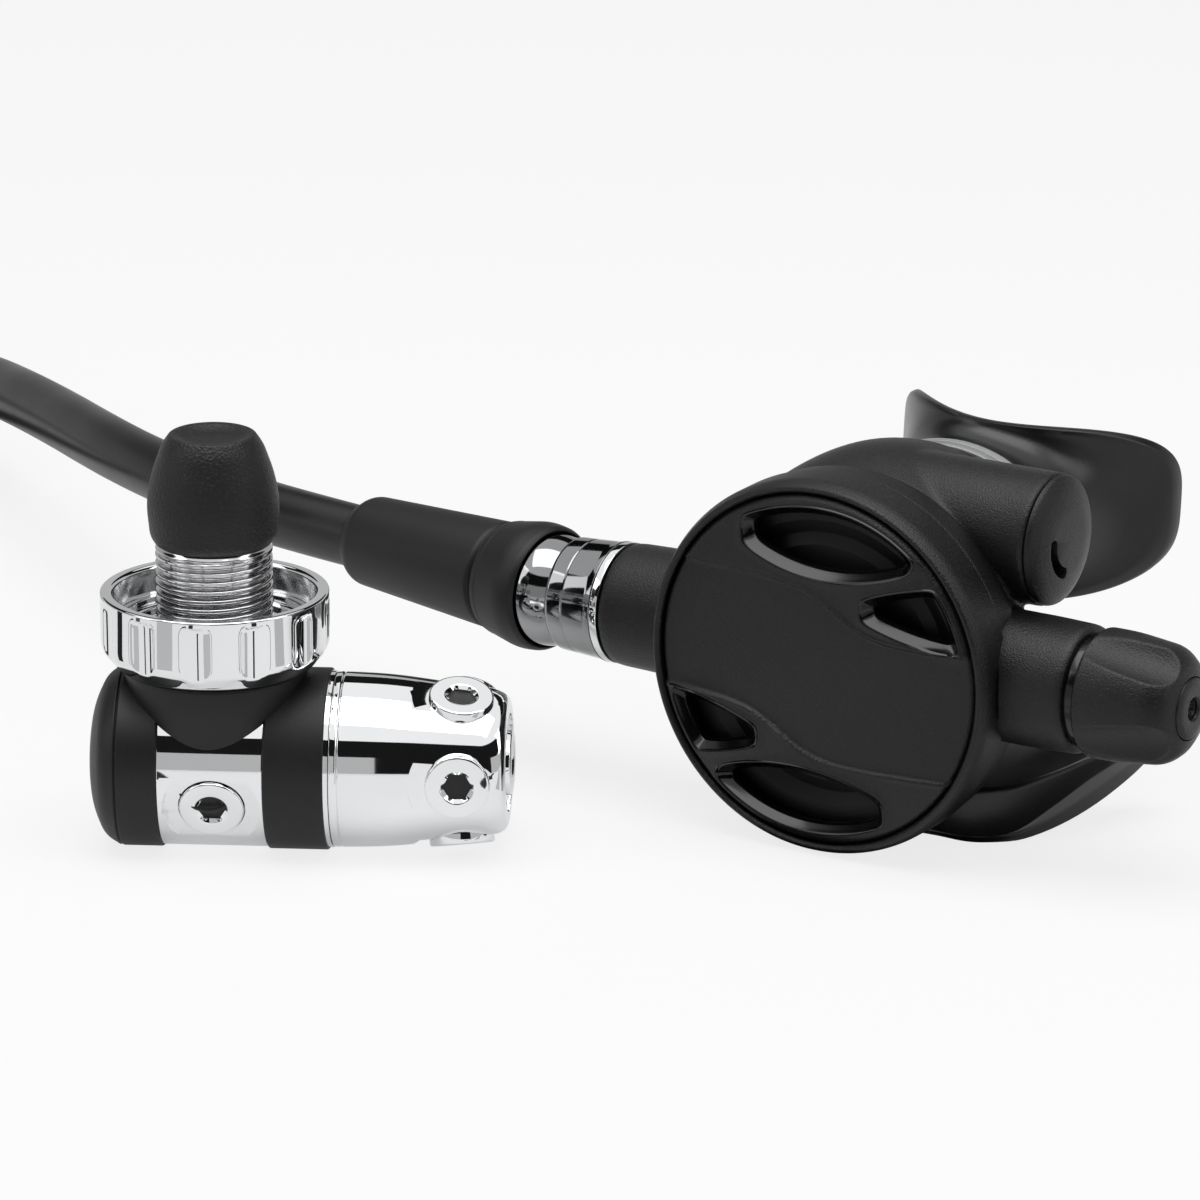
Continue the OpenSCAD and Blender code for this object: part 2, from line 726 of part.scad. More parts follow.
module swivel_collar() {
    color([0.08, 0.08, 0.08]) on_hose_axis() difference() {
        lathe_x([[-sleeve_near, 0], [-sleeve_near, sleeve_r - 0.2], [-sleeve_near + 0.6, sleeve_r + 0.5],
            [-8, collar_r - 0.9], [-4, collar_r - 0.15], [-1.4, collar_r], [-0.2, collar_r - 0.3],
            [0.6, collar_r - 0.9], [0.6, 0]]);
        rod_x(-sleeve_near + 2, 3, ball_r + gap);
        rod_x(-sleeve_near - 1, 1, nipple_r);
    }
}

module swivel_socket() {
    color("dimgray") on_hose_axis() difference() {
        union() {
            rod_x(-sleeve_near + 2, -3, ball_r + gap);
            rod_x(-nipple_end, -sleeve_near + 2.1, nipple_r);
        }
        sphere(r = ball_r + fit, $fn = 96);
        rod_x(-40, 0, 2.5);
    }
}

module swivel_ball() {
    color("silver") translate(ball) difference() {
        union() {
            sphere(r = ball_r, $fn = 96);
            rod_x(0, ball_neck, 8);
        }
        rod_x(-20, 20, 2.5);
        translate([-20, -20, -20]) cube([12, 40, 40]);
    }
}

module swivel_body() {
    color("dimgray") translate([face_x, barrel_y, barrel_z]) difference() {
        lathe_x([[-swivel_t + 5.4, 0], [-swivel_t + 5.4, ball_r - 0.5],
            [-swivel_t + 5.9, ball_r], [-housing_left - 2.6, housing_r - 0.9],
            [-housing_left - 1.9, housing_r - 0.7], [-housing_left - 1.9, 0]]);
        rod_x(-swivel_t, -housing_left, 8.0);
        translate([-swivel_t, 0, 0]) sphere(r = ball_r, $fn = 96);
    }
}

module swivel_ring() {
    color("silver") translate([face_x, barrel_y, barrel_z]) difference() {
        rod_x(-housing_left - 1.9, -housing_left - 0.1, housing_r - 0.75);
        rod_x(-housing_left - 3, -housing_left + 1, 8.0);
    }
}

module swivel_oring() {
    color([0.05, 0.05, 0.05]) translate([face_x, barrel_y, barrel_z])
        oring_x(-housing_left - 2.2, 7.2, 0.7);
}

// --- Second stage ---

// The hull of the case's back, shrunk by a wall.
module dome(wall) {
    hull() {
        translate([0, rim_back - 1, 0]) rotate([-90, 0, 0]) cylinder(h = 1, r = rim_r - 1 - wall, $fn = 32);
        translate([0, rim_back + 10, 1]) rotate([-90, 0, 0]) cylinder(h = 1, r = rim_r - 3 - wall, $fn = 32);
        translate([0, dome_y - 8, mouth_h]) oval_y(0, 8 - wall, neck_a + 1 - wall, neck_b + 2 - wall);
        translate([0, valve_y, valve_z - 2 + wall]) cylinder(h = 1, r = valve_r + 2.4 - wall, $fn = 32);
    }
}

module case_outer() {
    lathe_y([[collar_start, 0], [collar_start, collar_bore_r], [ring_depth, collar_bore_r],
        [ring_depth, rim_r - 0.7], [ring_depth + 0.7, rim_r], [rim_back - 2, rim_r],
        [rim_back - 0.5, rim_r - 0.6], [rim_back, rim_r - 1.6], [rim_back, 0]]);
    dome(0);
    on_barrel() rod_x(-housing_left + 14, housing_right - 1, housing_r);
    on_barrel() rod_x(-housing_left, -housing_left + 15, housing_r - 0.6);
    on_barrel() rod_x(housing_right - 1.2, housing_right, housing_r - 0.3);
    translate([0, flow_y, flow_z]) rod_x(0, flow_end, flow_r);
    translate([0, dome_y - 1, mouth_h]) oval_y(0, neck_y - dome_y + 1, neck_a - 2.6, neck_b - 2.6);
}

module case_inner() {
    rod_y(0, bead_y, bead_r);
    rod_y(0, rim_back + 1, bead_r - 1.8);
    dome(case_wall);
    translate([0, dome_y - 4, mouth_h]) oval_y(0, 20, neck_a - 4.8, neck_b - 4.8);
}

// The room that the cover ring and the purge cover take out of the case's front.
module cover_room() {
    rod_y(-9, collar_start, ring_r + gap);
    difference() {
        rod_y(-9, ring_depth, ring_r + gap);
        rod_y(-10, ring_depth + 1, collar_bore_r);
    }
}

module case() {
    color([0.13, 0.13, 0.13]) on_second_stage() difference() {
        union() {
            difference() {
                union() {
                    difference() {
                        case_outer();
                        case_inner();
                    }
                    // Seat of the exhaust valve
                    intersection() {
                        dome(0);
                        translate([0, valve_y, -50]) cylinder(h = 50 + valve_z, r = valve_r + 2, $fn = 96);
                    }
                }
                cover_room();
                translate([0, valve_y, -50])
                    cylinder(h = 50 + valve_z - seat_plate, r = valve_r + 0.3, $fn = 96);
                translate([0, valve_y, -40]) cylinder(h = 20, r = valve_r - 4, $fn = 96);
            }
            translate([0, flow_y, flow_z]) rod_x(12, flow_end - 0.1, flow_bore_r + 1.2);
            // Spider that holds the exhaust valve's stem
            translate([-valve_r + 3.5, valve_y - 1.6, valve_z - seat_plate])
                cube([2 * valve_r - 7, 3.2, seat_plate]);
        }
        on_barrel() rod_x(-housing_left - 1, housing_right + 1, barrel_r);
        translate([0, flow_y, flow_z]) rod_x(14, flow_end + 1, flow_bore_r);
        translate([0, valve_y, valve_z - 3]) cylinder(h = 4, r = valve_stem_r + fit, $fn = 32);
    }
}

module cover_ring() {
    color([0.11, 0.11, 0.11]) on_second_stage() difference() {
        lathe_y([[-1, 0], [-1, ring_r - 1.6], [-0.4, ring_r - 0.6], [1.4, ring_r - 0.1], [3, ring_r],
            [ring_depth - 1.2, ring_r], [ring_depth - 0.3, ring_r - 0.5],
            [ring_depth - 0.05, ring_r - 1.2], [ring_depth - 0.05, 0]]);
        rod_y(-2, 2, face_r + gap);
        rod_y(0.9, collar_start, face_r + 1.1);
        rod_y(collar_start - 0.1, ring_depth + 1, collar_bore_r);
    }
}

// A lens outline of the given length and height, as a polygon up to a cut at +x.
module lens(length, height, cut) {
    r = (length * length / 4 + height * height / 4) / height;
    reach = min(length / 2, cut);
    xs = [for (i = [0:8]) -length / 2 + (reach + length / 2) * i / 8];
    arch = [for (x = xs) [x, sqrt(r * r - x * x) - r + height / 2]];
    last = cut < length / 2 ? 8 : 7;
    polygon(concat(arch, [for (i = [last:-1:1]) [arch[i][0], -arch[i][1]]]));
}

// A half-lens outline: pointed towards -X, with a blunt right side.
module fin(length, height) {
    translate([length / 2, 0]) lens(2 * length, height, 0);
}

// The four water slots as prisms along +Y, with their outer ends along the cover's edge.
module slots(y0, y1) {
    intersection() {
        rod_y(y0, y1, slot_edge_r);
        for (turn = [0, 180]) rotate([0, turn, 0]) {
            translate([2.9, y1 + 1, slot_z]) rotate([90, 1, 0]) linear_extrude(y1 - y0 + 2)
                lens(34, 10.5, 17);
            translate([fin_slot_x, y1 + 1, 14.6]) rotate([90, 3, 0]) linear_extrude(y1 - y0 + 2)
                fin(21.5, 9.5);
        }
    }
}

module purge_cover() {
    crown_r = (face_r * face_r + face_crown * face_crown) / (2 * face_crown);
    front = [for (i = [1:8]) let (r = face_r * i / 8)
        [-0.6 - face_crown + crown_r - sqrt(crown_r * crown_r - r * r), r]];
    back = [for (i = [8:-1:1]) let (r = (face_r - 2) * i / 8)
        [1.6 - face_crown + crown_r - sqrt(crown_r * crown_r - r * r), r]];
    color([0.12, 0.12, 0.12]) on_second_stage() {
        difference() {
            union() {
                lathe_y(concat([[front[0][0], 0]], front, [[1, face_r], [1, face_r + 0.7],
                    [2.2, face_r + 0.7], [2.2, face_r - 2]], back, [[back[7][0], 0]]));
                rod_y(-2.6, plate_y - 0.35, 3.5);
            }
            slots(-10, 4);
        }
    }
}

module diaphragm() {
    color([0.15, 0.15, 0.15]) on_second_stage() difference() {
        lathe_y([[diaphragm_y, 0], [diaphragm_y, fold_r - 2.4], [diaphragm_y + 1, fold_r],
            [diaphragm_y, fold_r + 2.6], [diaphragm_y, bead_r], [bead_y, bead_r],
            [bead_y, bead_r - 1.8], [diaphragm_y + 1, bead_r - 2.4], [diaphragm_y + 2, fold_r],
            [diaphragm_y + 1, fold_r - 2.8], [diaphragm_y + 1, 0]]);
        rod_y(0, 20, plate_r);
    }
}

module diaphragm_plate() {
    color("silver") on_second_stage() lathe_y([[plate_y, 0], [plate_y, plate_r - 0.9],
        [plate_y + 0.4, plate_r - 0.35], [plate_y + 1.6, plate_r - 0.35], [plate_y + 1.6, 0]]);
}

module demand_lever() {
    tip_y = plate_y + 1.6 + 0.35;
    color("silver") on_second_stage() {
        translate([0, 0, -3]) linear_extrude(6) polygon([[lever_x - lever_arm, tip_y],
            [lever_x - lever_arm + 2, tip_y], [lever_x + 1, lever_y - 0.4],
            [lever_x + 1, lever_y + 0.4], [lever_x - lever_arm + 1.6, tip_y + 0.8],
            [lever_x - lever_arm, tip_y + 0.8]]);
        for (side = [-1, 1]) translate([lever_x - 1, lever_y - 0.4, side * 4 - 0.6])
            cube([2, foot_len, 1.2]);
        translate([lever_x - 1, lever_y - 0.4, -4.6]) cube([2, 0.8, 9.2]);
    }
}

module valve_barrel() {
    color("lightgray") on_second_stage() on_barrel() difference() {
        union() {
            rod_x(-housing_left - 4, -housing_left, 8 - fit);
            rod_x(-housing_left - 0.1, housing_right - 0.4, barrel_r);
        }
        difference() {
            rod_x(-housing_left - 2.95, -housing_left - 1.45, 9);
            rod_x(-housing_left - 4, -housing_left, 6.5);
        }
        rod_x(-swivel_t, housing_right + 1, barrel_bore_r);
        translate([lever_x - 5, -barrel_r - 1, -6]) cube([12, barrel_r - 1, 12]);
    }
}

module orifice() {
    color("goldenrod") on_second_stage() on_barrel() difference() {
        lathe_x([[seat_t - 18, 0], [seat_t - 18, barrel_bore_r], [seat_t - 4, barrel_bore_r],
            [seat_t, 3], [seat_t, 0]]);
        rod_x(seat_t - 20, seat_t + 1, 2.2);
        difference() {
            rod_x(seat_t - 9, seat_t - 7.2, 10);
            rod_x(seat_t - 10, seat_t - 6, barrel_bore_r - 1.3);
        }
    }
}

module orifice_oring() {
    color([0.05, 0.05, 0.05]) on_second_stage() on_barrel()
        oring_x(seat_t - 8.1, barrel_bore_r - 0.67, 0.62);
}

module poppet() {
    color("ivory") on_second_stage() on_barrel() difference() {
        union() {
            rod_x(seat_t + 0.4, seat_t + 6, barrel_bore_r - fit);
            rod_x(seat_t + 5, lever_x + 7, 2.4);
            rod_x(lever_x + 1.4, lever_x + 2.8, barrel_bore_r - fit);
        }
        rod_x(seat_t, seat_t + 2.4, 4);
    }
}

module poppet_seat() {
    color([0.1, 0.1, 0.1]) on_second_stage() on_barrel() rod_x(seat_t + 0.15, seat_t + 2.4, 4);
}

module poppet_spring() {
    color("silver") on_second_stage() on_barrel()
        coil_x(lever_x + 2.9, housing_right - 14.1, 4, 0.6, 5);
}

module adjusting_screw() {
    color("goldenrod") on_second_stage() on_barrel() difference() {
        union() {
            rod_x(housing_right - 14, housing_right - 1, barrel_bore_r - fit);
            rod_x(housing_right - 1.1, knob_x + 12, screw_r);
        }
        rod_x(housing_right - 15, housing_right - 9, 2.8);
    }
}

module knob() {
    end_x = knob_x + knob_len;
    color([0.11, 0.11, 0.11]) on_second_stage() on_barrel() difference() {
        lathe_x([[knob_x, 0], [knob_x, knob_r - 0.5], [knob_x + 0.5, knob_r],
            [knob_x + 5, knob_r], [end_x - 3.4, knob_r - 1.9], [end_x - 1.2, knob_r - 3.2],
            [end_x - 0.2, knob_r - 5.2], [end_x, knob_r - 6], [end_x, 0]]);
        for (i = [0:knob_flutes - 1]) rotate([i * 360 / knob_flutes + 45, 0, 0])
            translate([end_x - 7, 0, knob_r + 4.6]) rotate([0, 96, 0])
                cylinder(h = 26, r1 = 7.2, r2 = 7.2, center = true, $fn = 64);
        rod_x(knob_x - 1, knob_x + 12, screw_r);
        rod_x(end_x - 2, end_x + 1, 6.2);
    }
}

module knob_cap() {
    end_x = knob_x + knob_len;
    color([0.1, 0.1, 0.1]) on_second_stage() on_barrel() difference() {
        lathe_x([[end_x - 2, 0], [end_x - 2, 6.2], [end_x, 6.1], [end_x + 0.5, 5.4], [end_x + 0.7, 0]]);
        rod_x(end_x - 1.4, end_x + 2, 2.1);
    }
}

module knob_gap_ring() {
    color([0.03, 0.03, 0.03]) on_second_stage() on_barrel() difference() {
        rod_x(housing_right, knob_x - 0.1, knob_r - 1.2);
        rod_x(housing_right - 1, knob_x + 1, screw_r + fit);
    }
}

module flow_cap() {
    color([0.12, 0.12, 0.12]) on_second_stage() translate([0, flow_y, flow_z]) difference() {
        union() {
            lathe_x([[flow_end, 0], [flow_end, flow_r - 0.15], [flow_end + 1.2, flow_r - 0.9],
                [flow_end + 2.4, flow_r - 3.2], [flow_end + 3.1, flow_r - 6.5], [flow_end + 3.3, 0]]);
            rod_x(flow_end - 4, flow_end + 0.1, flow_bore_r);
        }
        rod_x(flow_end - 5, flow_end + 0.8, flow_bore_r - 1.4);
        // Slot for a coin
        intersection() {
            difference() {
                rod_x(flow_end - 2, flow_end + 6, 6.6);
                rod_x(flow_end - 3, flow_end + 7, 4.8);
            }
            rotate([90, 0, 90]) linear_extrude(60)
                polygon([[0, 0], [-20, -20], [-20, 10]]);
        }
    }
}

module flow_piston() {
    color("ivory") on_second_stage() translate([0, flow_y, flow_z]) difference() {
        union() {
            rod_x(27, 29.4, flow_bore_r - fit);
            rod_x(17.6, 27.1, 3);
        }
        rod_x(26, 28, 1);
    }
}

module flow_spring() {
    color("silver") on_second_stage() translate([0, flow_y, flow_z]) coil_x(14.1, 26.9, 6, 0.6, 5);
}

// One wing of the exhaust deflector, shrunk by a wall.
module wing(side, wall) {
    hull() {
        translate([0, valve_y - 3, wing_z + wall / 2]) cube([1, 24 - wall, 7 - wall], center = true);
        translate([side * 22, valve_y - 1, wing_z + 0.2 + wall / 2]) rotate([0, side * -4, 0])
            cube([10, 22 - wall, 8.2 - wall], center = true);
        translate([side * (wing_half - 7), valve_y + 25, wing_tip_z]) rotate([0, side * -24, side * 26])
            cube([8, 8 - wall, 14 - wall], center = true);
    }
}

module exhaust_deflector() {
    color([0.07, 0.07, 0.07]) on_second_stage() difference() {
        union() {
            for (side = [-1, 1]) wing(side, 0);
            translate([0, valve_y, wing_z - 2.6]) cylinder(h = 7, r = valve_r + 2.2, $fn = 96);
        }
        for (side = [-1, 1]) wing(side, 2.6);
        dome(-0.05);
        translate([0, valve_y, valve_z - 5.4]) cylinder(h = 9, r = valve_r + 0.3, $fn = 96);
        translate([-reach, -reach, -face_z - reach]) cube([2 * reach, 3 * reach, reach]);
        rod_y(0, rim_back + 0.02, ring_r + 2);
    }
}

module exhaust_valve() {
    color([0.2, 0.2, 0.2]) on_second_stage() translate([0, valve_y, valve_z - seat_plate]) {
        lathe_z([[-1.1, 0], [-0.9, valve_r - 2], [-0.6, valve_r - 1], [-0.3, valve_r - 1], [-0.3, 0]]);
        translate([0, 0, -0.4]) cylinder(h = 5, r = valve_stem_r, $fn = 32);
        translate([0, 0, 3.4]) cylinder(h = 1.2, r = 2, $fn = 32);
    }
}

// The lip shield's outline seen from the mouth.
module shield_outline() {
    corner = 11;
    hull() for (x = [-1, 1]) for (z = [-1, 1])
        translate([x * (shield_half - corner), z * (shield_h / 2 - corner)]) circle(r = corner, $fn = 32);
}

module mouthpiece() {
    color([0.1, 0.1, 0.1]) on_second_stage() translate([0, 0, mouth_h]) difference() {
        union() {
            translate([0, dome_y + 0.5, 0]) oval_y(0, throat_y - dome_y, neck_a, neck_b);
            translate([0, throat_y, 0]) oval_y(0, shield_y - throat_y, neck_a - 2, neck_b - 2.5);
            translate([0, 0, -shield_drop]) rotate([0, shield_roll, 0]) intersection() {
                translate([0, shield_y + shield_bow_r, 0]) rotate([90, 0, 0])
                    linear_extrude(shield_bow_r + 16) shield_outline();
                translate([0, shield_y - 4 + shield_bow_r, -shield_h]) difference() {
                    cylinder(h = 2 * shield_h, r = shield_bow_r, $fn = 96);
                    translate([0, 0, -1])
                        cylinder(h = 2 * shield_h + 2, r = shield_bow_r - shield_wall, $fn = 96);
                    translate([-reach, 0, -1]) cube([2 * reach, reach, 2 * shield_h + 2]);
                }
            }
            for (side = [-1, 1]) translate([side * 21, shield_y + 11, 0]) rotate([0, 0, side * 24]) {
                translate([-6, -8, -1.4]) cube([12, 18, 2.8]);
                translate([-6, 8, -5]) cube([12, 2.6, 10]);
            }
        }
        translate([0, dome_y, 0]) oval_y(0, neck_y - dome_y + 0.3, neck_a - 2.6, neck_b - 2.6);
        translate([0, dome_y, 0]) oval_y(0, 40, neck_a - 4.8, neck_b - 5);
        translate([0, strap_y - 0.1, 0]) difference() {
            oval_y(0, strap_w + 0.2, neck_a + 3, neck_b + 3);
            oval_y(-1, 2 * strap_w, neck_a - 0.8, neck_b - 0.8);
        }
    }
}

module mouthpiece_strap() {
    color([0.62, 0.62, 0.62]) on_second_stage() translate([0, strap_y, mouth_h]) difference() {
        oval_y(0, strap_w, neck_a + 0.5, neck_b + 0.5);
        oval_y(-1, 2 * strap_w, neck_a - 0.8, neck_b - 0.8);
    }
}

first_stage_body();
end_boot();
seat_retainer();
piston_seat();
piston();
piston_spring();
piston_oring();
stem_oring();
ambient_band();
piston_cap();
turret();
turret_clip();
low_port_plugs();
low_plug_orings();
high_port_plugs();
high_plug_orings();
din_boot();
din_stud();
din_filter();
din_oring();
din_thread();
din_handwheel();
din_cap();
hose();
hose_coil();
hose_fitting();
fitting_oring();
hose_sleeve();
swivel_collar();
swivel_socket();
swivel_ball();
swivel_body();
swivel_oring();
swivel_ring();
case();
cover_ring();
purge_cover();
diaphragm();
diaphragm_plate();
demand_lever();
valve_barrel();
orifice();
orifice_oring();
poppet();
poppet_seat();
poppet_spring();
adjusting_screw();
knob();
knob_cap();
knob_gap_ring();
flow_cap();
flow_piston();
flow_spring();
exhaust_deflector();
exhaust_valve();
mouthpiece();
mouthpiece_strap();
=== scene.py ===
"""Scuba regulator set: first stage, second stage and hose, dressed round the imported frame.

Every shape is worked out in millimetres in its sub-assembly's own frame and then placed in the
row frame in metres: +X along the second stage's valve barrel, +Y behind its cover, +Z up.
"""
import json
import logging
import math
from dataclasses import dataclass, field
from enum import Enum
from typing import Sequence

import bmesh
import bpy
import numpy as np
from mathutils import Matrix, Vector


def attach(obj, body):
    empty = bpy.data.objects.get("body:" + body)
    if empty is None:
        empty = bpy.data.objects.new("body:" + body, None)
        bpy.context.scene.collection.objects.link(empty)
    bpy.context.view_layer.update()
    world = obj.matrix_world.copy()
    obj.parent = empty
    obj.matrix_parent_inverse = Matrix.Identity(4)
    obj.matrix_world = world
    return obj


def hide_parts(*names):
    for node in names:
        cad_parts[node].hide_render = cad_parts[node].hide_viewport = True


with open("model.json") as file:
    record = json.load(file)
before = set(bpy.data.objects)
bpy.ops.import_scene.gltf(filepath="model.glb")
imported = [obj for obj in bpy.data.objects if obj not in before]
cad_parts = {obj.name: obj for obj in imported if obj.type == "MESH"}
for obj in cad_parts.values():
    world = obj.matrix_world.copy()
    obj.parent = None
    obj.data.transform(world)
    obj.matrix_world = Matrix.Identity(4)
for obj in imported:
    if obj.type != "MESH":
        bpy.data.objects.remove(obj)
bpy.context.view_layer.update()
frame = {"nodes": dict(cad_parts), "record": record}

LOG = logging.getLogger("regulator")
MM = 0.001
MM_PER_M = 1000.0
MERGE_DIST = 2e-6
THIN_EDGE = 1e-7
SHARP = 38.0
SOFTENED_SHARP = 34.0
JOINED_SHARP = 60.0
BEVEL_ANGLE = 40.0
BEVEL_STEPS = 2
ROD_SIDES = 96
STEEP = 0.9
Array = np.ndarray
Colour = tuple[float, float, float]


class Axis(Enum):
    """The axis that a lathe shape is turned round."""

    X = 0
    Y = 1
    Z = 2


class Coat(Enum):
    """How a finish's surface is broken up."""

    GRAIN = "grain"
    BRUSHED = "brushed"
    POLISHED = "polished"


@dataclass(frozen=True)
class Place:
    """A sub-assembly's own frame.

    Attributes:
        origin: its origin in the row frame, in millimetres.
        yaw: its turn about Z, in degrees.
    """

    origin: tuple[float, float, float] = (0.0, 0.0, 0.0)
    yaw: float = 0.0

    def row(self, points: Array) -> Array:
        """Points of this frame, in millimetres, as points of the row frame.

        Args:
            points: an array whose last axis holds x, y and z.

        Returns:
            The turned and shifted points: (x cos a - y sin a, x sin a + y cos a, z) + origin.
        """
        c, s = math.cos(math.radians(self.yaw)), math.sin(math.radians(self.yaw))
        turned = np.stack([points[..., 0] * c - points[..., 1] * s,
                           points[..., 0] * s + points[..., 1] * c, points[..., 2]], axis=-1)
        return turned + np.array(self.origin)


FIRST_STAGE = Place((0.0, 0.0, 17.3), 28.0)
DIN = Place()
SECOND_STAGE = Place((104.0, 55.0, 37.9))
BARREL = Place((104.0, 72.0, 37.9))
FLOW = Place((104.0, 83.4, 62.9))
HOSE_END = Place((32.1, 72.0, 37.9), -9.9)


# --- Surfaces -------------------------------------------------------------------------------


def unit(vectors: Array) -> Array:
    """Vectors at length 1 along the last axis; a zero vector stays zero."""
    length = np.linalg.norm(vectors, axis=-1, keepdims=True)
    return vectors / np.where(length == 0, 1, length)


def step(x: Array) -> Array:
    """The smooth step 3x^2 - 2x^3, clamped to 0 and 1."""
    x = np.clip(x, 0, 1)
    return x * x * (3 - 2 * x)


def soft_min(a: Array, b: Array, blend: float) -> Array:
    """The smaller of two values, blended over a width: -k log(e^(-a/k) + e^(-b/k))."""
    return -blend * np.logaddexp(-a / blend, -b / blend)


def rounded(corners: Sequence[tuple[float, float, float]], closed: bool = False,
            steps: int = 6) -> Array:
    """A profile whose corners are rounded.

    Each corner P with a cut c becomes the quadratic curve (1-t)^2 A + 2t(1-t) P + t^2 B, where
    A and B lie c before and c after P on the straight lines to its neighbours. A cut is at most
    half of the shorter line.

    Args:
        corners: (along, radius, cut) of each corner.
        closed: whether the last corner joins the first.
        steps: points on each rounded corner.

    Returns:
        The profile's points (along, radius).
    """
    data = np.array(corners, float)
    p, cut = data[:, :2], data[:, 2].copy()
    if not closed:
        cut[[0, -1]] = 0
    back, ahead = np.roll(p, 1, 0) - p, np.roll(p, -1, 0) - p
    shorter = np.minimum(np.linalg.norm(back, axis=1), np.linalg.norm(ahead, axis=1))
    cut = np.minimum(cut, shorter / 2)
    before, after = unit(back), unit(ahead)
    t = np.linspace(0, 1, steps)[None, :, None]
    a = (p + before * cut[:, None])[:, None]
    b = (p + after * cut[:, None])[:, None]
    curve = (1 - t) ** 2 * a + 2 * t * (1 - t) * p[:, None] + t ** 2 * b
    return curve.reshape(-1, 2)


def dense(profile: Array, spacing: float) -> Array:
    """A profile whose straight stretches are split.

    Args:
        profile: the points (along, radius), one row each.
        spacing: the longest step that is left.

    Returns:
        The profile with its old points and the new ones between them.
    """
    rows = [profile[:1]]
    for a, b in zip(profile[:-1], profile[1:]):
        parts = max(2, int(np.linalg.norm(b - a) / spacing) + 2)
        rows.append(np.linspace(a, b, parts)[1:])
    return np.concatenate(rows)


def turned(profile: Array, axis: Axis, segments: int = 128) -> Array:
    """A lathe surface: the profile (along, radius) turned once round an axis.

    Args:
        profile: the points (along, radius), one row each.
        axis: the axis of the turn.
        segments: columns round the axis.

    Returns:
        A grid of points, profile by angle. Angle 0 is +Z for X and Y, and +X for Z.
    """
    angle = np.linspace(0, 2 * np.pi, segments, endpoint=False)
    along = np.repeat(profile[:, :1], segments, axis=1)
    return round_axis(along, profile[:, 1:] * np.ones(segments), angle, axis)


def round_axis(along: Array, radius: Array, angle: Array, axis: Axis) -> Array:
    """Points from a distance along an axis, a radius and an angle round it.

    Args:
        along: the distances.
        radius: the radii.
        angle: the angles, in radians.
        axis: the axis.

    Returns:
        The points, with x, y and z on the last axis.
    """
    c, s = radius * np.cos(angle), radius * np.sin(angle)
    if axis is Axis.X:
        return np.stack([along, -s, c], axis=-1)
    if axis is Axis.Y:
        return np.stack([s, along, c], axis=-1)
    return np.stack([c, s, along], axis=-1)


def capped(rows: Array) -> Array:
    """A grid whose first and last rows close on their own middle points.

    Args:
        rows: a grid of points whose columns go round.

    Returns:
        The grid with one more row at each end.
    """
    ends = [np.repeat(row.mean(0, keepdims=True)[None], rows.shape[1], axis=1)
            for row in (rows[0], rows[-1])]
    return np.concatenate([ends[0], rows, ends[1]])


def swept(path: Array, radius: float, sides: int) -> Array:
    """A round tube along a path: each ring lies square to the path, P + r (cos a S + sin a N).

    Args:
        path: the centreline's points.
        radius: the tube's radius.
        sides: columns round the tube.

    Returns:
        A grid of points, path by angle, whose ends close on the path.
    """
    heading = unit(np.gradient(path, axis=0))
    side = unit(np.cross(heading, [0.0, 0.0, 1.0]))
    normal = np.cross(side, heading)
    angle = np.linspace(0, 2 * np.pi, sides, endpoint=False)[None, :, None]
    out = np.cos(angle) * side[:, None] + np.sin(angle) * normal[:, None]
    return capped(path[:, None] + radius * out)


def scoops(angle: Array, count: int, turn: float, centre: Array | float,
           radius: float) -> Array:
    """How far out evenly spaced cylindrical scoops leave a lathe shape's wall.

    The near side of a cylinder of radius R whose axis lies c from the shape's own is at
    c cos a - sqrt(R^2 - c^2 sin^2 a), with a counted from the scoop's middle.

    Args:
        angle: the angles round the shape, in radians.
        count: how many scoops go round.
        turn: the angle of one scoop's middle, in degrees.
        centre: the distance c, one value or one for each row.
        radius: the radius R.

    Returns:
        The limit at each angle, infinite where no scoop reaches.
    """
    pitch = 2 * np.pi / count
    off = (angle - math.radians(turn) + pitch / 2) % pitch - pitch / 2
    inside = radius ** 2 - (centre * np.sin(off)) ** 2
    near = centre * np.cos(off) - np.sqrt(np.maximum(inside, 0))
    return np.where(inside > 0.01, near, np.inf)


def limited(rows: Array, limit: Array, angle: Array, inner: float, blend: float,
            axis: Axis) -> Array:
    """A lathe surface whose outer wall is kept within a limit.

    Args:
        rows: the profile's points (along, radius).
        limit: the largest radius at each angle, or at each row and angle.
        angle: the angles round the shape, in radians.
        inner: the radius up to which the profile stays as it is.
        blend: the width that the limit's edges are rounded over.
        axis: the axis of the turn.

    Returns:
        A grid of points, profile by angle.
    """
    radius = rows[:, 1:] * np.ones(len(angle))
    radius = np.where(rows[:, 1:] > inner, soft_min(radius, limit, blend), radius)
    return round_axis(rows[:, :1] * np.ones(len(angle)), radius, angle, axis)


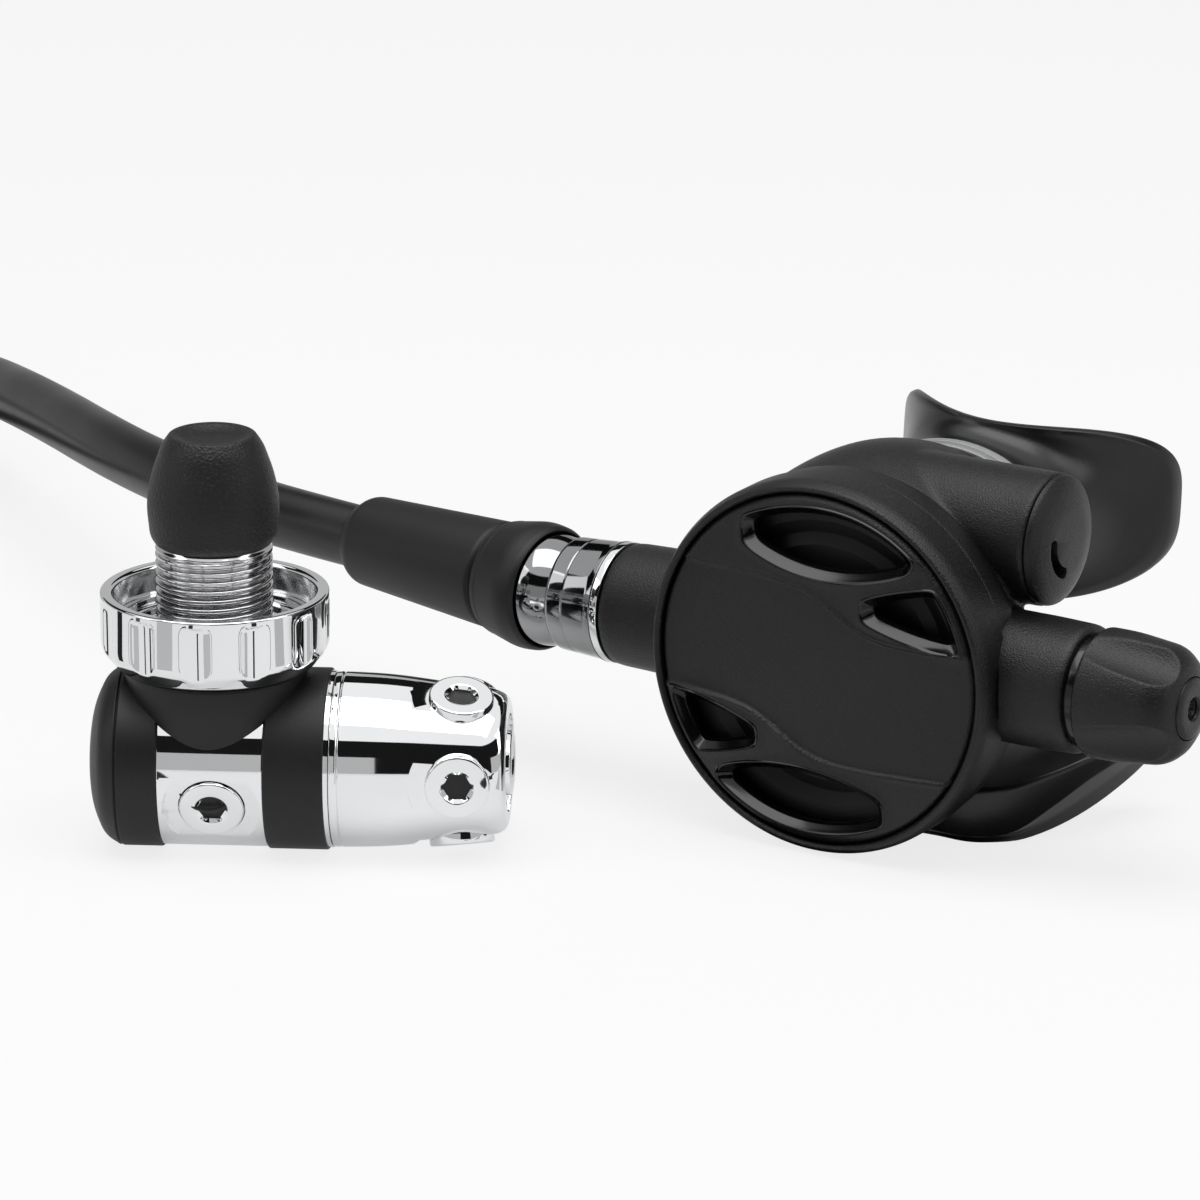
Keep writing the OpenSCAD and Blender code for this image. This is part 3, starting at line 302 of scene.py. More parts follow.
def resample(points: Array, spacing: float) -> Array:
    """A smooth curve through points at even spacing, as a Catmull-Rom spline.

    Between P1 and P2 the curve is half of 2 P1 + (P2 - P0) t + (2 P0 - 5 P1 + 4 P2 - P3) t^2
    + (3 P1 - 3 P2 + P3 - P0) t^3.

    Args:
        points: the points to pass through.
        spacing: the distance between the new points.

    Returns:
        The new points, with both ends kept.
    """
    full = np.concatenate([2 * points[:1] - points[1:2], points, 2 * points[-1:] - points[-2:-1]])
    p0, p1, p2, p3 = full[:-3, None], full[1:-2, None], full[2:-1, None], full[3:, None]
    t = np.linspace(0, 1, 24, endpoint=False)[None, :, None]
    curve = 0.5 * (2 * p1 + (p2 - p0) * t + (2 * p0 - 5 * p1 + 4 * p2 - p3) * t ** 2
                   + (3 * p1 - 3 * p2 + p3 - p0) * t ** 3)
    curve = np.concatenate([curve.reshape(-1, 3), points[-1:]])
    run = np.concatenate([[0], np.cumsum(np.linalg.norm(np.diff(curve, axis=0), axis=1))])
    at = np.linspace(0, run[-1], max(2, round(run[-1] / spacing) + 1))
    return np.stack([np.interp(at, run, curve[:, k]) for k in range(3)], axis=-1)


def hermite(at: Array, values: Array, x: Array) -> Array:
    """A smooth curve through a table's rows, as cubic Hermite pieces.

    With t from 0 to 1 between two rows h apart, the value is (2t^3 - 3t^2 + 1) a
    + (t^3 - 2t^2 + t) h a' + (3t^2 - 2t^3) b + (t^3 - t^2) h b'.

    Args:
        at: where each row holds, ascending.
        values: the table, one row each.
        x: the places to read it at.

    Returns:
        One row for each place.
    """
    slope = np.gradient(values, at, axis=0)
    i = np.clip(np.searchsorted(at, x, side="right") - 1, 0, len(at) - 2)
    h = at[i + 1] - at[i]
    t = (x - at[i]) / h
    shape = (-1,) + (1,) * (values.ndim - 1)
    parts = (2 * t ** 3 - 3 * t ** 2 + 1, (t ** 3 - 2 * t ** 2 + t) * h,
             3 * t ** 2 - 2 * t ** 3, (t ** 3 - t ** 2) * h)
    rows = (values[i], slope[i], values[i + 1], slope[i + 1])
    return sum(p.reshape(shape) * r for p, r in zip(parts, rows))


# --- Meshes ---------------------------------------------------------------------------------


def grid_faces(rows: int, cols: int, wrap_rows: bool, wrap_cols: bool, first: int) -> Array:
    """Quads of a grid of vertices.

    Args:
        rows: how many rows it has.
        cols: how many columns it has.
        wrap_rows: whether its last row joins its first.
        wrap_cols: whether its last column joins its first.
        first: the number of its first vertex; the others follow row by row.

    Returns:
        Four vertex numbers for each quad.
    """
    u = np.arange(rows if wrap_rows else rows - 1)[:, None]
    v = np.arange(cols if wrap_cols else cols - 1)[None, :]
    u1, v1 = (u + 1) % rows, (v + 1) % cols
    quads = np.stack([u * cols + v, u * cols + v1, u1 * cols + v1, u1 * cols + v], axis=-1)
    return quads.reshape(-1, 4) + first


def mesh_piece(name: str, grids: Sequence[Array], place: Place, wrap_rows: bool = False,
               sharp: float = SHARP, on_ground: bool = False) -> bpy.types.Object:
    """An object from closed grids of points in a place's frame.

    Args:
        name: the object's name.
        grids: grids of points (rows, columns, 3) in millimetres, each wrapped by its columns.
        place: the frame that the points are given in.
        wrap_rows: whether each grid's last row joins its first.
        sharp: the angle in degrees over which an edge is left sharp.
        on_ground: whether points under the ground are lifted to it.

    Returns:
        The new object, with merged seams and poles and faces that point outwards.
    """
    verts, faces, count = [], [], 0
    for grid in grids:
        points = place.row(grid).reshape(-1, 3)
        if on_ground:
            points[:, 2] = np.maximum(points[:, 2], 0.0)
        verts.append(points * MM)
        faces.append(grid_faces(grid.shape[0], grid.shape[1], wrap_rows, True, count))
        count += len(points)
    mesh = bpy.data.meshes.new(name)
    mesh.from_pydata(np.concatenate(verts).tolist(), [], np.concatenate(faces).tolist())
    piece = bpy.data.objects.new(name, mesh)
    bpy.context.scene.collection.objects.link(piece)
    clean(piece, sharp)
    return piece


def clean(piece: bpy.types.Object, sharp: float) -> None:
    """Merges a mesh's doubles, turns its faces outwards and shades it.

    Args:
        piece: the object.
        sharp: the angle in degrees over which an edge is left sharp.
    """
    work = bmesh.new()
    work.from_mesh(piece.data)
    bmesh.ops.remove_doubles(work, verts=work.verts, dist=MERGE_DIST)
    bmesh.ops.dissolve_degenerate(work, edges=work.edges, dist=THIN_EDGE)
    bmesh.ops.recalc_face_normals(work, faces=work.faces)
    work.to_mesh(piece.data)
    work.free()
    shade(piece, sharp)


def shade(piece: bpy.types.Object, sharp: float) -> None:
    """Shades a mesh smooth, with sharp edges over an angle in degrees."""
    piece.data.polygons.foreach_set("use_smooth", np.ones(len(piece.data.polygons), bool))
    piece.data.set_sharp_from_angle(angle=math.radians(sharp))


def bake(piece: bpy.types.Object) -> None:
    """Replaces an object's mesh by what its modifiers make of it.

    Args:
        piece: the object.
    """
    graph = bpy.context.evaluated_depsgraph_get()
    made = bpy.data.meshes.new_from_object(piece.evaluated_get(graph))
    piece.modifiers.clear()
    piece.data = made


def carve(piece: bpy.types.Object, tools: Sequence[bpy.types.Object],
          sharp: float = SHARP) -> None:
    """Cuts tools out of a piece and deletes the tools.

    Args:
        piece: the object that is cut.
        tools: the cutters.
        sharp: the angle in degrees over which an edge is left sharp.
    """
    for tool in tools:
        cut = piece.modifiers.new(tool.name, "BOOLEAN")
        cut.operation, cut.solver, cut.object = "DIFFERENCE", "EXACT", tool
    bake(piece)
    for tool in tools:
        bpy.data.objects.remove(tool)
    shade(piece, sharp)


def soften(piece: bpy.types.Object, width: float) -> None:
    """Rounds a piece's sharp edges.

    Args:
        piece: the object.
        width: how far the rounding reaches from each edge, in millimetres.
    """
    bevel = piece.modifiers.new("edges", "BEVEL")
    bevel.width, bevel.segments, bevel.limit_method = width * MM, BEVEL_STEPS, "ANGLE"
    bevel.angle_limit, bevel.use_clamp_overlap = math.radians(BEVEL_ANGLE), True
    bevel.miter_outer = "MITER_ARC"
    bake(piece)
    shade(piece, SOFTENED_SHARP)


def fuse(piece: bpy.types.Object, voxel: float, smooth: int) -> None:
    """Melts a piece's overlapping shells into one skin with filleted creases.

    Args:
        piece: the object.
        voxel: the size of the remesh's cells in millimetres.
        smooth: passes of smoothing, which set the size of the fillets.
    """
    remesh = piece.modifiers.new("fuse", "REMESH")
    remesh.mode, remesh.voxel_size, remesh.use_smooth_shade = "VOXEL", voxel * MM, True
    relax = piece.modifiers.new("relax", "SMOOTH")
    relax.factor, relax.iterations = 0.5, smooth
    bake(piece)
    shade(piece, JOINED_SHARP)


def join(piece: bpy.types.Object, others: Sequence[bpy.types.Object]) -> None:
    """Adds other objects' meshes to a piece's own and deletes the others.

    Args:
        piece: the object that stays.
        others: the objects that are taken up.
    """
    work = bmesh.new()
    for each in (piece, *others):
        work.from_mesh(each.data)
    work.to_mesh(piece.data)
    work.free()
    for other in others:
        bpy.data.objects.remove(other)
    shade(piece, JOINED_SHARP)


def side_of(axis: Array) -> Array:
    """A unit vector square to an axis: axis x Z, or axis x Y where the axis is steep."""
    helper = [0.0, 1.0, 0.0] if abs(axis[2]) > STEEP else [0.0, 0.0, 1.0]
    return unit(np.cross(axis, helper))


def rod(start: Sequence[float], direction: Sequence[float], length: float,
        radius: float) -> Array:
    """A closed cylinder.

    Args:
        start: the middle of its near end.
        direction: the way it runs.
        length: its length.
        radius: its radius.

    Returns:
        A grid of points, along by round, whose ends close on the axis.
    """
    axis = unit(np.array(direction, float))
    path = np.array(start, float) + axis * np.array([[0.0], [0.0], [length], [length]])
    side = side_of(axis)
    normal = np.cross(side, axis)
    angle = np.linspace(0, 2 * np.pi, ROD_SIDES, endpoint=False)[None, :, None]
    size = np.array([0.0, radius, radius, 0.0])[:, None, None]
    return path[:, None] + size * (np.cos(angle) * side + np.sin(angle) * normal)


def aimed(grid: Array, start: Array, direction: Array) -> Array:
    """A grid that faces +X, turned to face a direction and moved to a point.

    Args:
        grid: the grid of points.
        start: where its origin goes.
        direction: the way that it faces then.

    Returns:
        The new grid.
    """
    x = unit(direction)
    y = -side_of(x)
    z = np.cross(x, y)
    return start + grid[..., :1] * x + grid[..., 1:2] * y + grid[..., 2:] * z


def ribbon(path: Array, half: float, depth: float) -> Array:
    """A cutter with a square section and rounded ends.

    Its half width at u, from -1 to 1 along the path, is w sqrt(1.0001 - u^16).

    Args:
        path: the points of its middle, in a plane across X.
        half: its half width w.
        depth: how far it reaches along X to each side.

    Returns:
        A grid of points, path by corner, with closed ends.
    """
    heading = unit(np.gradient(path, axis=0))
    side = unit(np.cross(heading, [1.0, 0.0, 0.0]))
    width = half * np.sqrt(1.0001 - np.linspace(-1, 1, len(path)) ** 16)[:, None]
    corners = [path + side * width * across + np.array([along * depth, 0.0, 0.0])
               for across, along in ((-1, -1), (1, -1), (1, 1), (-1, 1))]
    return capped(np.stack(corners, axis=1))


def rooted(values: Array) -> Array:
    """Each value's square root with its sign kept, which turns a circle into a squircle."""
    return np.sign(values) * np.sqrt(np.abs(values))


def block(centre: tuple[float, float, float], half: Sequence[float], yaw: float) -> Array:
    """A rounded block: a superellipsoid whose cosines and sines are rooted.

    Args:
        centre: its middle.
        half: its half sizes.
        yaw: its turn about Z, in degrees.

    Returns:
        A grid of points, pole to pole by round.
    """
    u = np.linspace(-np.pi / 2, np.pi / 2, 25)[:, None]
    v = np.linspace(-np.pi, np.pi, 48, endpoint=False)[None, :]
    x = half[0] * rooted(np.cos(u)) * rooted(np.cos(v))
    y = half[1] * rooted(np.cos(u)) * rooted(np.sin(v))
    z = half[2] * rooted(np.sin(u)) * np.ones_like(v)
    return Place(centre, yaw).row(np.stack([x, y, z], axis=-1))


# --- Finishes -------------------------------------------------------------------------------


class Nodes:
    """A short way to add and link shader nodes in one tree."""

    def __init__(self, tree: bpy.types.NodeTree) -> None:
        """Starts with an empty tree."""
        self.tree = tree
        tree.nodes.clear()

    def add(self, kind: str, inputs: dict | None = None, **settings) -> bpy.types.Node:
        """Adds a node, sets its properties and feeds its inputs.

        Args:
            kind: the node's type name without "ShaderNode", or its whole name.
            inputs: input name or number to a value or to another node's output.
            settings: the node's own properties.

        Returns:
            The new node.
        """
        full = kind if kind.startswith("Node") else "ShaderNode" + kind
        node = self.tree.nodes.new(full)
        for name, value in settings.items():
            setattr(node, name, value)
        for name, value in (inputs or {}).items():
            if isinstance(value, bpy.types.NodeSocket):
                self.tree.links.new(value, node.inputs[name])
            else:
                node.inputs[name].default_value = value
        return node


def group(name: str, inputs: dict[str, float], outputs: Sequence[tuple[str, str]]) -> Nodes:
    """A new shader node group with float inputs and named outputs.

    Args:
        name: the group's name.
        inputs: input name to its default.
        outputs: pairs of an output's name and its socket type.

    Returns:
        The group's tree, ready for nodes, with its ends as nodes "in" and "out".
    """
    tree = bpy.data.node_groups.new(name, "ShaderNodeTree")
    nodes = Nodes(tree)
    for key, value in inputs.items():
        socket = tree.interface.new_socket(key, in_out="INPUT", socket_type="NodeSocketFloat")
        socket.default_value = value
    for key, kind in outputs:
        tree.interface.new_socket(key, in_out="OUTPUT", socket_type=kind)
    nodes.add("NodeGroupInput").name = "in"
    nodes.add("NodeGroupOutput").name = "out"
    return nodes


def make_grain() -> bpy.types.NodeTree:
    """Moulded grain: small pits and bumps of a size, and a slow change over the surface.

    Returns:
        The group, with inputs Size (mm), Depth (mm) and Cloud (mm), and outputs Normal, Pits
        and Drift.
    """
    nodes = group("moulded_grain", {"Size": 0.5, "Depth": 0.05, "Cloud": 30.0},
                  [("Normal", "NodeSocketVector"), ("Pits", "NodeSocketFloat"),
                   ("Drift", "NodeSocketFloat")])
    ends = nodes.tree.nodes["in"], nodes.tree.nodes["out"]
    where = nodes.add("TexCoord").outputs["Object"]
    fine = nodes.add("Math", {0: MM_PER_M, 1: ends[0].outputs["Size"]}, operation="DIVIDE")
    wide = nodes.add("Math", {0: MM_PER_M, 1: ends[0].outputs["Cloud"]}, operation="DIVIDE")
    cells = nodes.add("TexVoronoi", {"Vector": where, "Scale": fine.outputs[0]},
                      feature="SMOOTH_F1")
    noise = nodes.add("TexNoise", {"Vector": where, "Scale": fine.outputs[0], "Detail": 3.0,
                                   "Roughness": 0.6})
    drift = nodes.add("TexNoise", {"Vector": where, "Scale": wide.outputs[0], "Detail": 3.0})
    both = nodes.add("Math", {0: cells.outputs["Distance"], 1: noise.outputs["Fac"]},
                     operation="MULTIPLY")
    depth = nodes.add("Math", {0: ends[0].outputs["Depth"], 1: MM}, operation="MULTIPLY")
    bump = nodes.add("Bump", {"Height": both.outputs[0], "Distance": depth.outputs[0],
                              "Strength": 1.0})
    nodes.tree.links.new(bump.outputs["Normal"], ends[1].inputs["Normal"])
    nodes.tree.links.new(both.outputs[0], ends[1].inputs["Pits"])
    nodes.tree.links.new(drift.outputs["Fac"], ends[1].inputs["Drift"])
    return nodes.tree


def make_polish() -> bpy.types.NodeTree:
    """Polished or brushed metal: faint waves, hair-fine marks and smears.

    Returns:
        The group, with inputs Marks (mm), Depth (mm) and Stretch, and outputs Normal, Smear
        and Tone.
    """
    nodes = group("metal_polish", {"Marks": 0.4, "Depth": 0.002, "Stretch": 1.0},
                  [("Normal", "NodeSocketVector"), ("Smear", "NodeSocketFloat"),
                   ("Tone", "NodeSocketFloat")])
    ends = nodes.tree.nodes["in"], nodes.tree.nodes["out"]
    where = nodes.add("TexCoord").outputs["Object"]
    size = nodes.add("CombineXYZ", {0: ends[0].outputs["Stretch"], 1: 1.0, 2: 1.0})
    pulled = nodes.add("VectorMath", {0: where, 1: size.outputs[0]}, operation="MULTIPLY")
    scale = nodes.add("Math", {0: MM_PER_M, 1: ends[0].outputs["Marks"]}, operation="DIVIDE")
    marks = nodes.add("TexNoise", {"Vector": pulled.outputs[0], "Scale": scale.outputs[0],
                                   "Detail": 2.0})
    smear = nodes.add("TexNoise", {"Vector": where, "Scale": 90.0, "Detail": 4.0,
                                   "Distortion": 0.6})
    tone = nodes.add("TexNoise", {"Vector": where, "Scale": 25.0, "Detail": 2.0})
    depth = nodes.add("Math", {0: ends[0].outputs["Depth"], 1: MM}, operation="MULTIPLY")
    bump = nodes.add("Bump", {"Height": marks.outputs["Fac"], "Distance": depth.outputs[0],
                              "Strength": 1.0})
    nodes.tree.links.new(bump.outputs["Normal"], ends[1].inputs["Normal"])
    nodes.tree.links.new(smear.outputs["Fac"], ends[1].inputs["Smear"])
    nodes.tree.links.new(tone.outputs["Fac"], ends[1].inputs["Tone"])
    return nodes.tree


@dataclass(frozen=True)
class Finish:
    """One finish of the set.

    Attributes:
        slot: the record's material slot.
        low: base colour in the pits or the duller places.
        high: base colour on the high spots.
        rough: roughness at the pattern's two ends.
        coat: how the surface is broken up.
        metallic: 1 for bare metal.
        size: size of the grain or of the marks, in millimetres.
        depth: depth of the grain or of the marks, in millimetres.
        cloud: size of the slow change, in millimetres.
        specular: the specular level.
    """

    slot: str
    low: Colour
    high: Colour
    rough: tuple[float, float]
    coat: Coat = Coat.GRAIN
    metallic: float = 0.0
    size: float = 0.5
    depth: float = 0.05
    cloud: float = 30.0
    specular: float = 0.5

    def build(self, groups: dict[Coat, bpy.types.NodeTree]) -> bpy.types.Material:
        """Makes the material.

        Args:
            groups: the shader node group of each way to break up a surface.

        Returns:
            The material, named after its slot.
        """
        material = bpy.data.materials.new(self.slot)
        material.use_nodes = True
        nodes = Nodes(material.node_tree)
        pattern = nodes.add("Group", node_tree=groups[self.coat])
        if self.coat is Coat.GRAIN:
            settings = {"Size": self.size, "Depth": self.depth, "Cloud": self.cloud}
            colour_by, rough_by = pattern.outputs["Pits"], pattern.outputs["Drift"]
        else:
            stretch = 0.06 if self.coat is Coat.BRUSHED else 1.0
            settings = {"Marks": self.size, "Depth": self.depth, "Stretch": stretch}
            colour_by, rough_by = pattern.outputs["Tone"], pattern.outputs["Smear"]
        for name, value in settings.items():
            pattern.inputs[name].default_value = value
        colour = nodes.add("ValToRGB", {"Fac": colour_by})
        ends = zip(colour.color_ramp.elements, (0.25, 0.75), (self.low, self.high))
        for end, position, tone in ends:
            end.position, end.color = position, (*tone, 1)
        rough = nodes.add("MapRange", {"Value": rough_by, "From Min": 0.3, "From Max": 0.7,
                                       "To Min": self.rough[0], "To Max": self.rough[1]})
        shader = nodes.add("BsdfPrincipled", {
            "Base Color": colour.outputs["Color"], "Roughness": rough.outputs[0],
            "Normal": pattern.outputs["Normal"], "Metallic": self.metallic,
            "Specular IOR Level": self.specular})
        nodes.add("OutputMaterial", {"Surface": shader.outputs[0]})
        return material


FINISHES = (
    Finish("polished_chrome", (0.78, 0.79, 0.80), (0.88, 0.89, 0.90), (0.02, 0.05),
           Coat.POLISHED, 1.0, 6.0, 0.004),
    Finish("dark_chrome", (0.22, 0.225, 0.23), (0.34, 0.345, 0.35), (0.05, 0.10),
           Coat.POLISHED, 1.0, 0.5, 0.0006),
    Finish("plated_brass", (0.56, 0.56, 0.57), (0.72, 0.72, 0.73), (0.08, 0.18),
           Coat.POLISHED, 1.0, 0.8, 0.0012),
    Finish("brass", (0.58, 0.42, 0.18), (0.72, 0.55, 0.27), (0.2, 0.35), Coat.BRUSHED, 1.0, 0.3,
           0.01),
    Finish("sintered_bronze", (0.22, 0.15, 0.08), (0.5, 0.36, 0.2), (0.5, 0.7), Coat.GRAIN, 1.0,
           0.3, 0.2),
    Finish("steel", (0.5, 0.5, 0.51), (0.62, 0.62, 0.63), (0.2, 0.32), Coat.BRUSHED, 1.0, 0.3,
           0.01),
    Finish("boot_rubber", (0.005, 0.005, 0.0055), (0.011, 0.011, 0.0115), (0.42, 0.54), size=0.35,
           depth=0.03, specular=0.4),
    Finish("hose_rubber", (0.007, 0.007, 0.0075), (0.014, 0.014, 0.0145), (0.28, 0.40), size=1.1,
           depth=0.03, specular=0.45),
    Finish("seal_rubber", (0.006, 0.006, 0.006), (0.012, 0.012, 0.012), (0.45, 0.55), size=0.4,
           depth=0.01),
    Finish("silicone", (0.007, 0.007, 0.0075), (0.013, 0.013, 0.0135), (0.26, 0.36), size=0.5,
           depth=0.02, specular=0.5),
    Finish("diaphragm_silicone", (0.004, 0.004, 0.004), (0.007, 0.007, 0.007), (0.45, 0.55),
           size=0.6, depth=0.02, specular=0.3),
    Finish("case_plastic", (0.004, 0.004, 0.0045), (0.018, 0.018, 0.0185), (0.34, 0.46), size=0.3,
           depth=0.16, specular=0.4),
    Finish("cap_plastic", (0.006, 0.006, 0.0065), (0.022, 0.022, 0.0225), (0.40, 0.52), size=0.5,
           depth=0.25, specular=0.4),
    Finish("gloss_black", (0.003, 0.003, 0.003), (0.006, 0.006, 0.006), (0.12, 0.2), size=3.0,
           depth=0.01, specular=0.45),
    Finish("seat_plastic", (0.6, 0.58, 0.5), (0.75, 0.73, 0.66), (0.35, 0.5), size=0.6,
           depth=0.02),
    Finish("strap_plastic", (0.34, 0.345, 0.35), (0.46, 0.465, 0.47), (0.22, 0.34), size=0.8,
           depth=0.02),
)


# --- Sub-assemblies -------------------------------------------------------------------------


class Kit:
    """Dresses pieces: gives each its material, its body and the CAD nodes that it stands for."""

    def __init__(self) -> None:
        """Builds every finish once."""
        groups = {Coat.GRAIN: make_grain()}
        groups[Coat.POLISHED] = groups[Coat.BRUSHED] = make_polish()
        self.materials = {f.slot: f.build(groups) for f in FINISHES}
        self.slots = {s["node"]: s["material_slot"] for s in frame["record"]["subparts"]}
        self.bodies = {n: b for b, ns in frame["record"]["behaviour"]["bodies"].items() for n in ns}
        self.dressed: set[str] = set()

    def dress(self, piece: bpy.types.Object, node: str, slot: str | None = None,
              stands_for: bool = True) -> None:
        """Gives a new piece the finish and the body of a CAD node.

        Args:
            piece: the new object.
            node: the CAD node whose body it rides on.
            slot: a finish other than the node's own.
            stands_for: whether the node is hidden behind the piece.
        """
        name = slot or self.slots[node]
        piece.data.materials.clear()
        piece.data.materials.append(self.materials[name])
        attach(piece, self.bodies[node])
        if stands_for:
            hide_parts(node)
            self.dressed.add(node)
        LOG.info("%s: %d faces on %s", piece.name, len(piece.data.polygons), self.bodies[node])

    def lathe(self, name: str, node: str, profile: Array, axis: Axis, place: Place,
              segments: int = 128, slot: str | None = None, stands_for: bool = True,
              **form: bool | float) -> None:
        """Builds and dresses a piece that is one lathe surface.

        Args:
            name: the piece's name.
            node: the CAD node whose body it rides on.
            profile: the points (along, radius), one row each.
            axis: the axis of the turn.
            place: the frame that the profile is given in.
            segments: columns round the axis.
            slot: a finish other than the node's own.
            stands_for: whether the node is hidden behind the piece.
            form: what mesh_piece is told about its rows, edges and ground.
        """
        piece = mesh_piece(name, [turned(profile, axis, segments)], place, **form)
        self.dress(piece, node, slot, stands_for)

    def finish_rest(self) -> None:
        """Gives every CAD node that still shows its finish."""
        for name, node in frame["nodes"].items():
            if name not in self.dressed:
                node.data.materials.clear()
                node.data.materials.append(self.materials[self.slots[name]])


@dataclass
class PortPlug:
    """A port plug with a hex socket, facing +X with its face at 0."""

    radius: float = 6.35
    head: float = 2.2
    across: float = 5.0
    socket: float = 2.6
    columns: int = 96

    def hexagon(self) -> tuple[Array, Array]:
        """Angles round the axis, and the socket's radius at each.

        A hexagon's radius at angle a is half its width over the cosine of a's distance from the
        middle of its side.

        Returns:
            The angles in radians and the radii.
        """
        angle = np.linspace(0, 2 * np.pi, self.columns, endpoint=False)
        from_middle = (angle + np.pi / 6) % (np.pi / 3) - np.pi / 6
        return angle, self.across / 2 / np.cos(from_middle)

    def grid(self) -> Array:
        """The plug's surface: rings whose radius is a circle's or a hexagon's.

        Returns:
            A grid of points, rings by angle.
        """
        angle, hexagon = self.hexagon()
        circle = np.ones(self.columns)
        rim = self.across / math.sqrt(3) + 0.35
        rings = [(-self.socket - 0.5, 0 * circle), (-self.socket, 0.35 * hexagon),
                 (-self.socket, hexagon), (-0.75, hexagon), (-0.62, hexagon + 0.02),
                 (-0.12, rim * circle), (-0.02, (rim + 0.12) * circle), (0, (rim + 0.3) * circle),
                 (0, (self.radius - 0.55) * circle), (-0.04, (self.radius - 0.3) * circle),
                 (-0.16, (self.radius - 0.12) * circle), (-0.4, self.radius * circle),
                 (-self.head, self.radius * circle), (-self.head, 0 * circle)]
        along = np.stack([np.full(self.columns, a) for a, _ in rings])
        return round_axis(along, np.stack([r for _, r in rings]), angle, Axis.X)

    def shade_block(self) -> Array:
        """Painted shade for the socket: a dark hexagonal block that fills its deep end, where the
        socket lies in shadow.

        Returns:
            A closed grid of points.
        """
        angle, hexagon = self.hexagon()
        # the block is not a part of the plug; its dark finish paints the shade in the socket
        play, low, high = 0.02, 0.05 - self.socket, -self.socket * 0.4
        along = np.repeat(np.array([[low], [low], [high], [high]]), self.columns, axis=1)
        radius = np.array([[0.0], [1.0], [1.0], [0.0]]) * (hexagon - play)
        return round_axis(along, radius, angle, Axis.X)


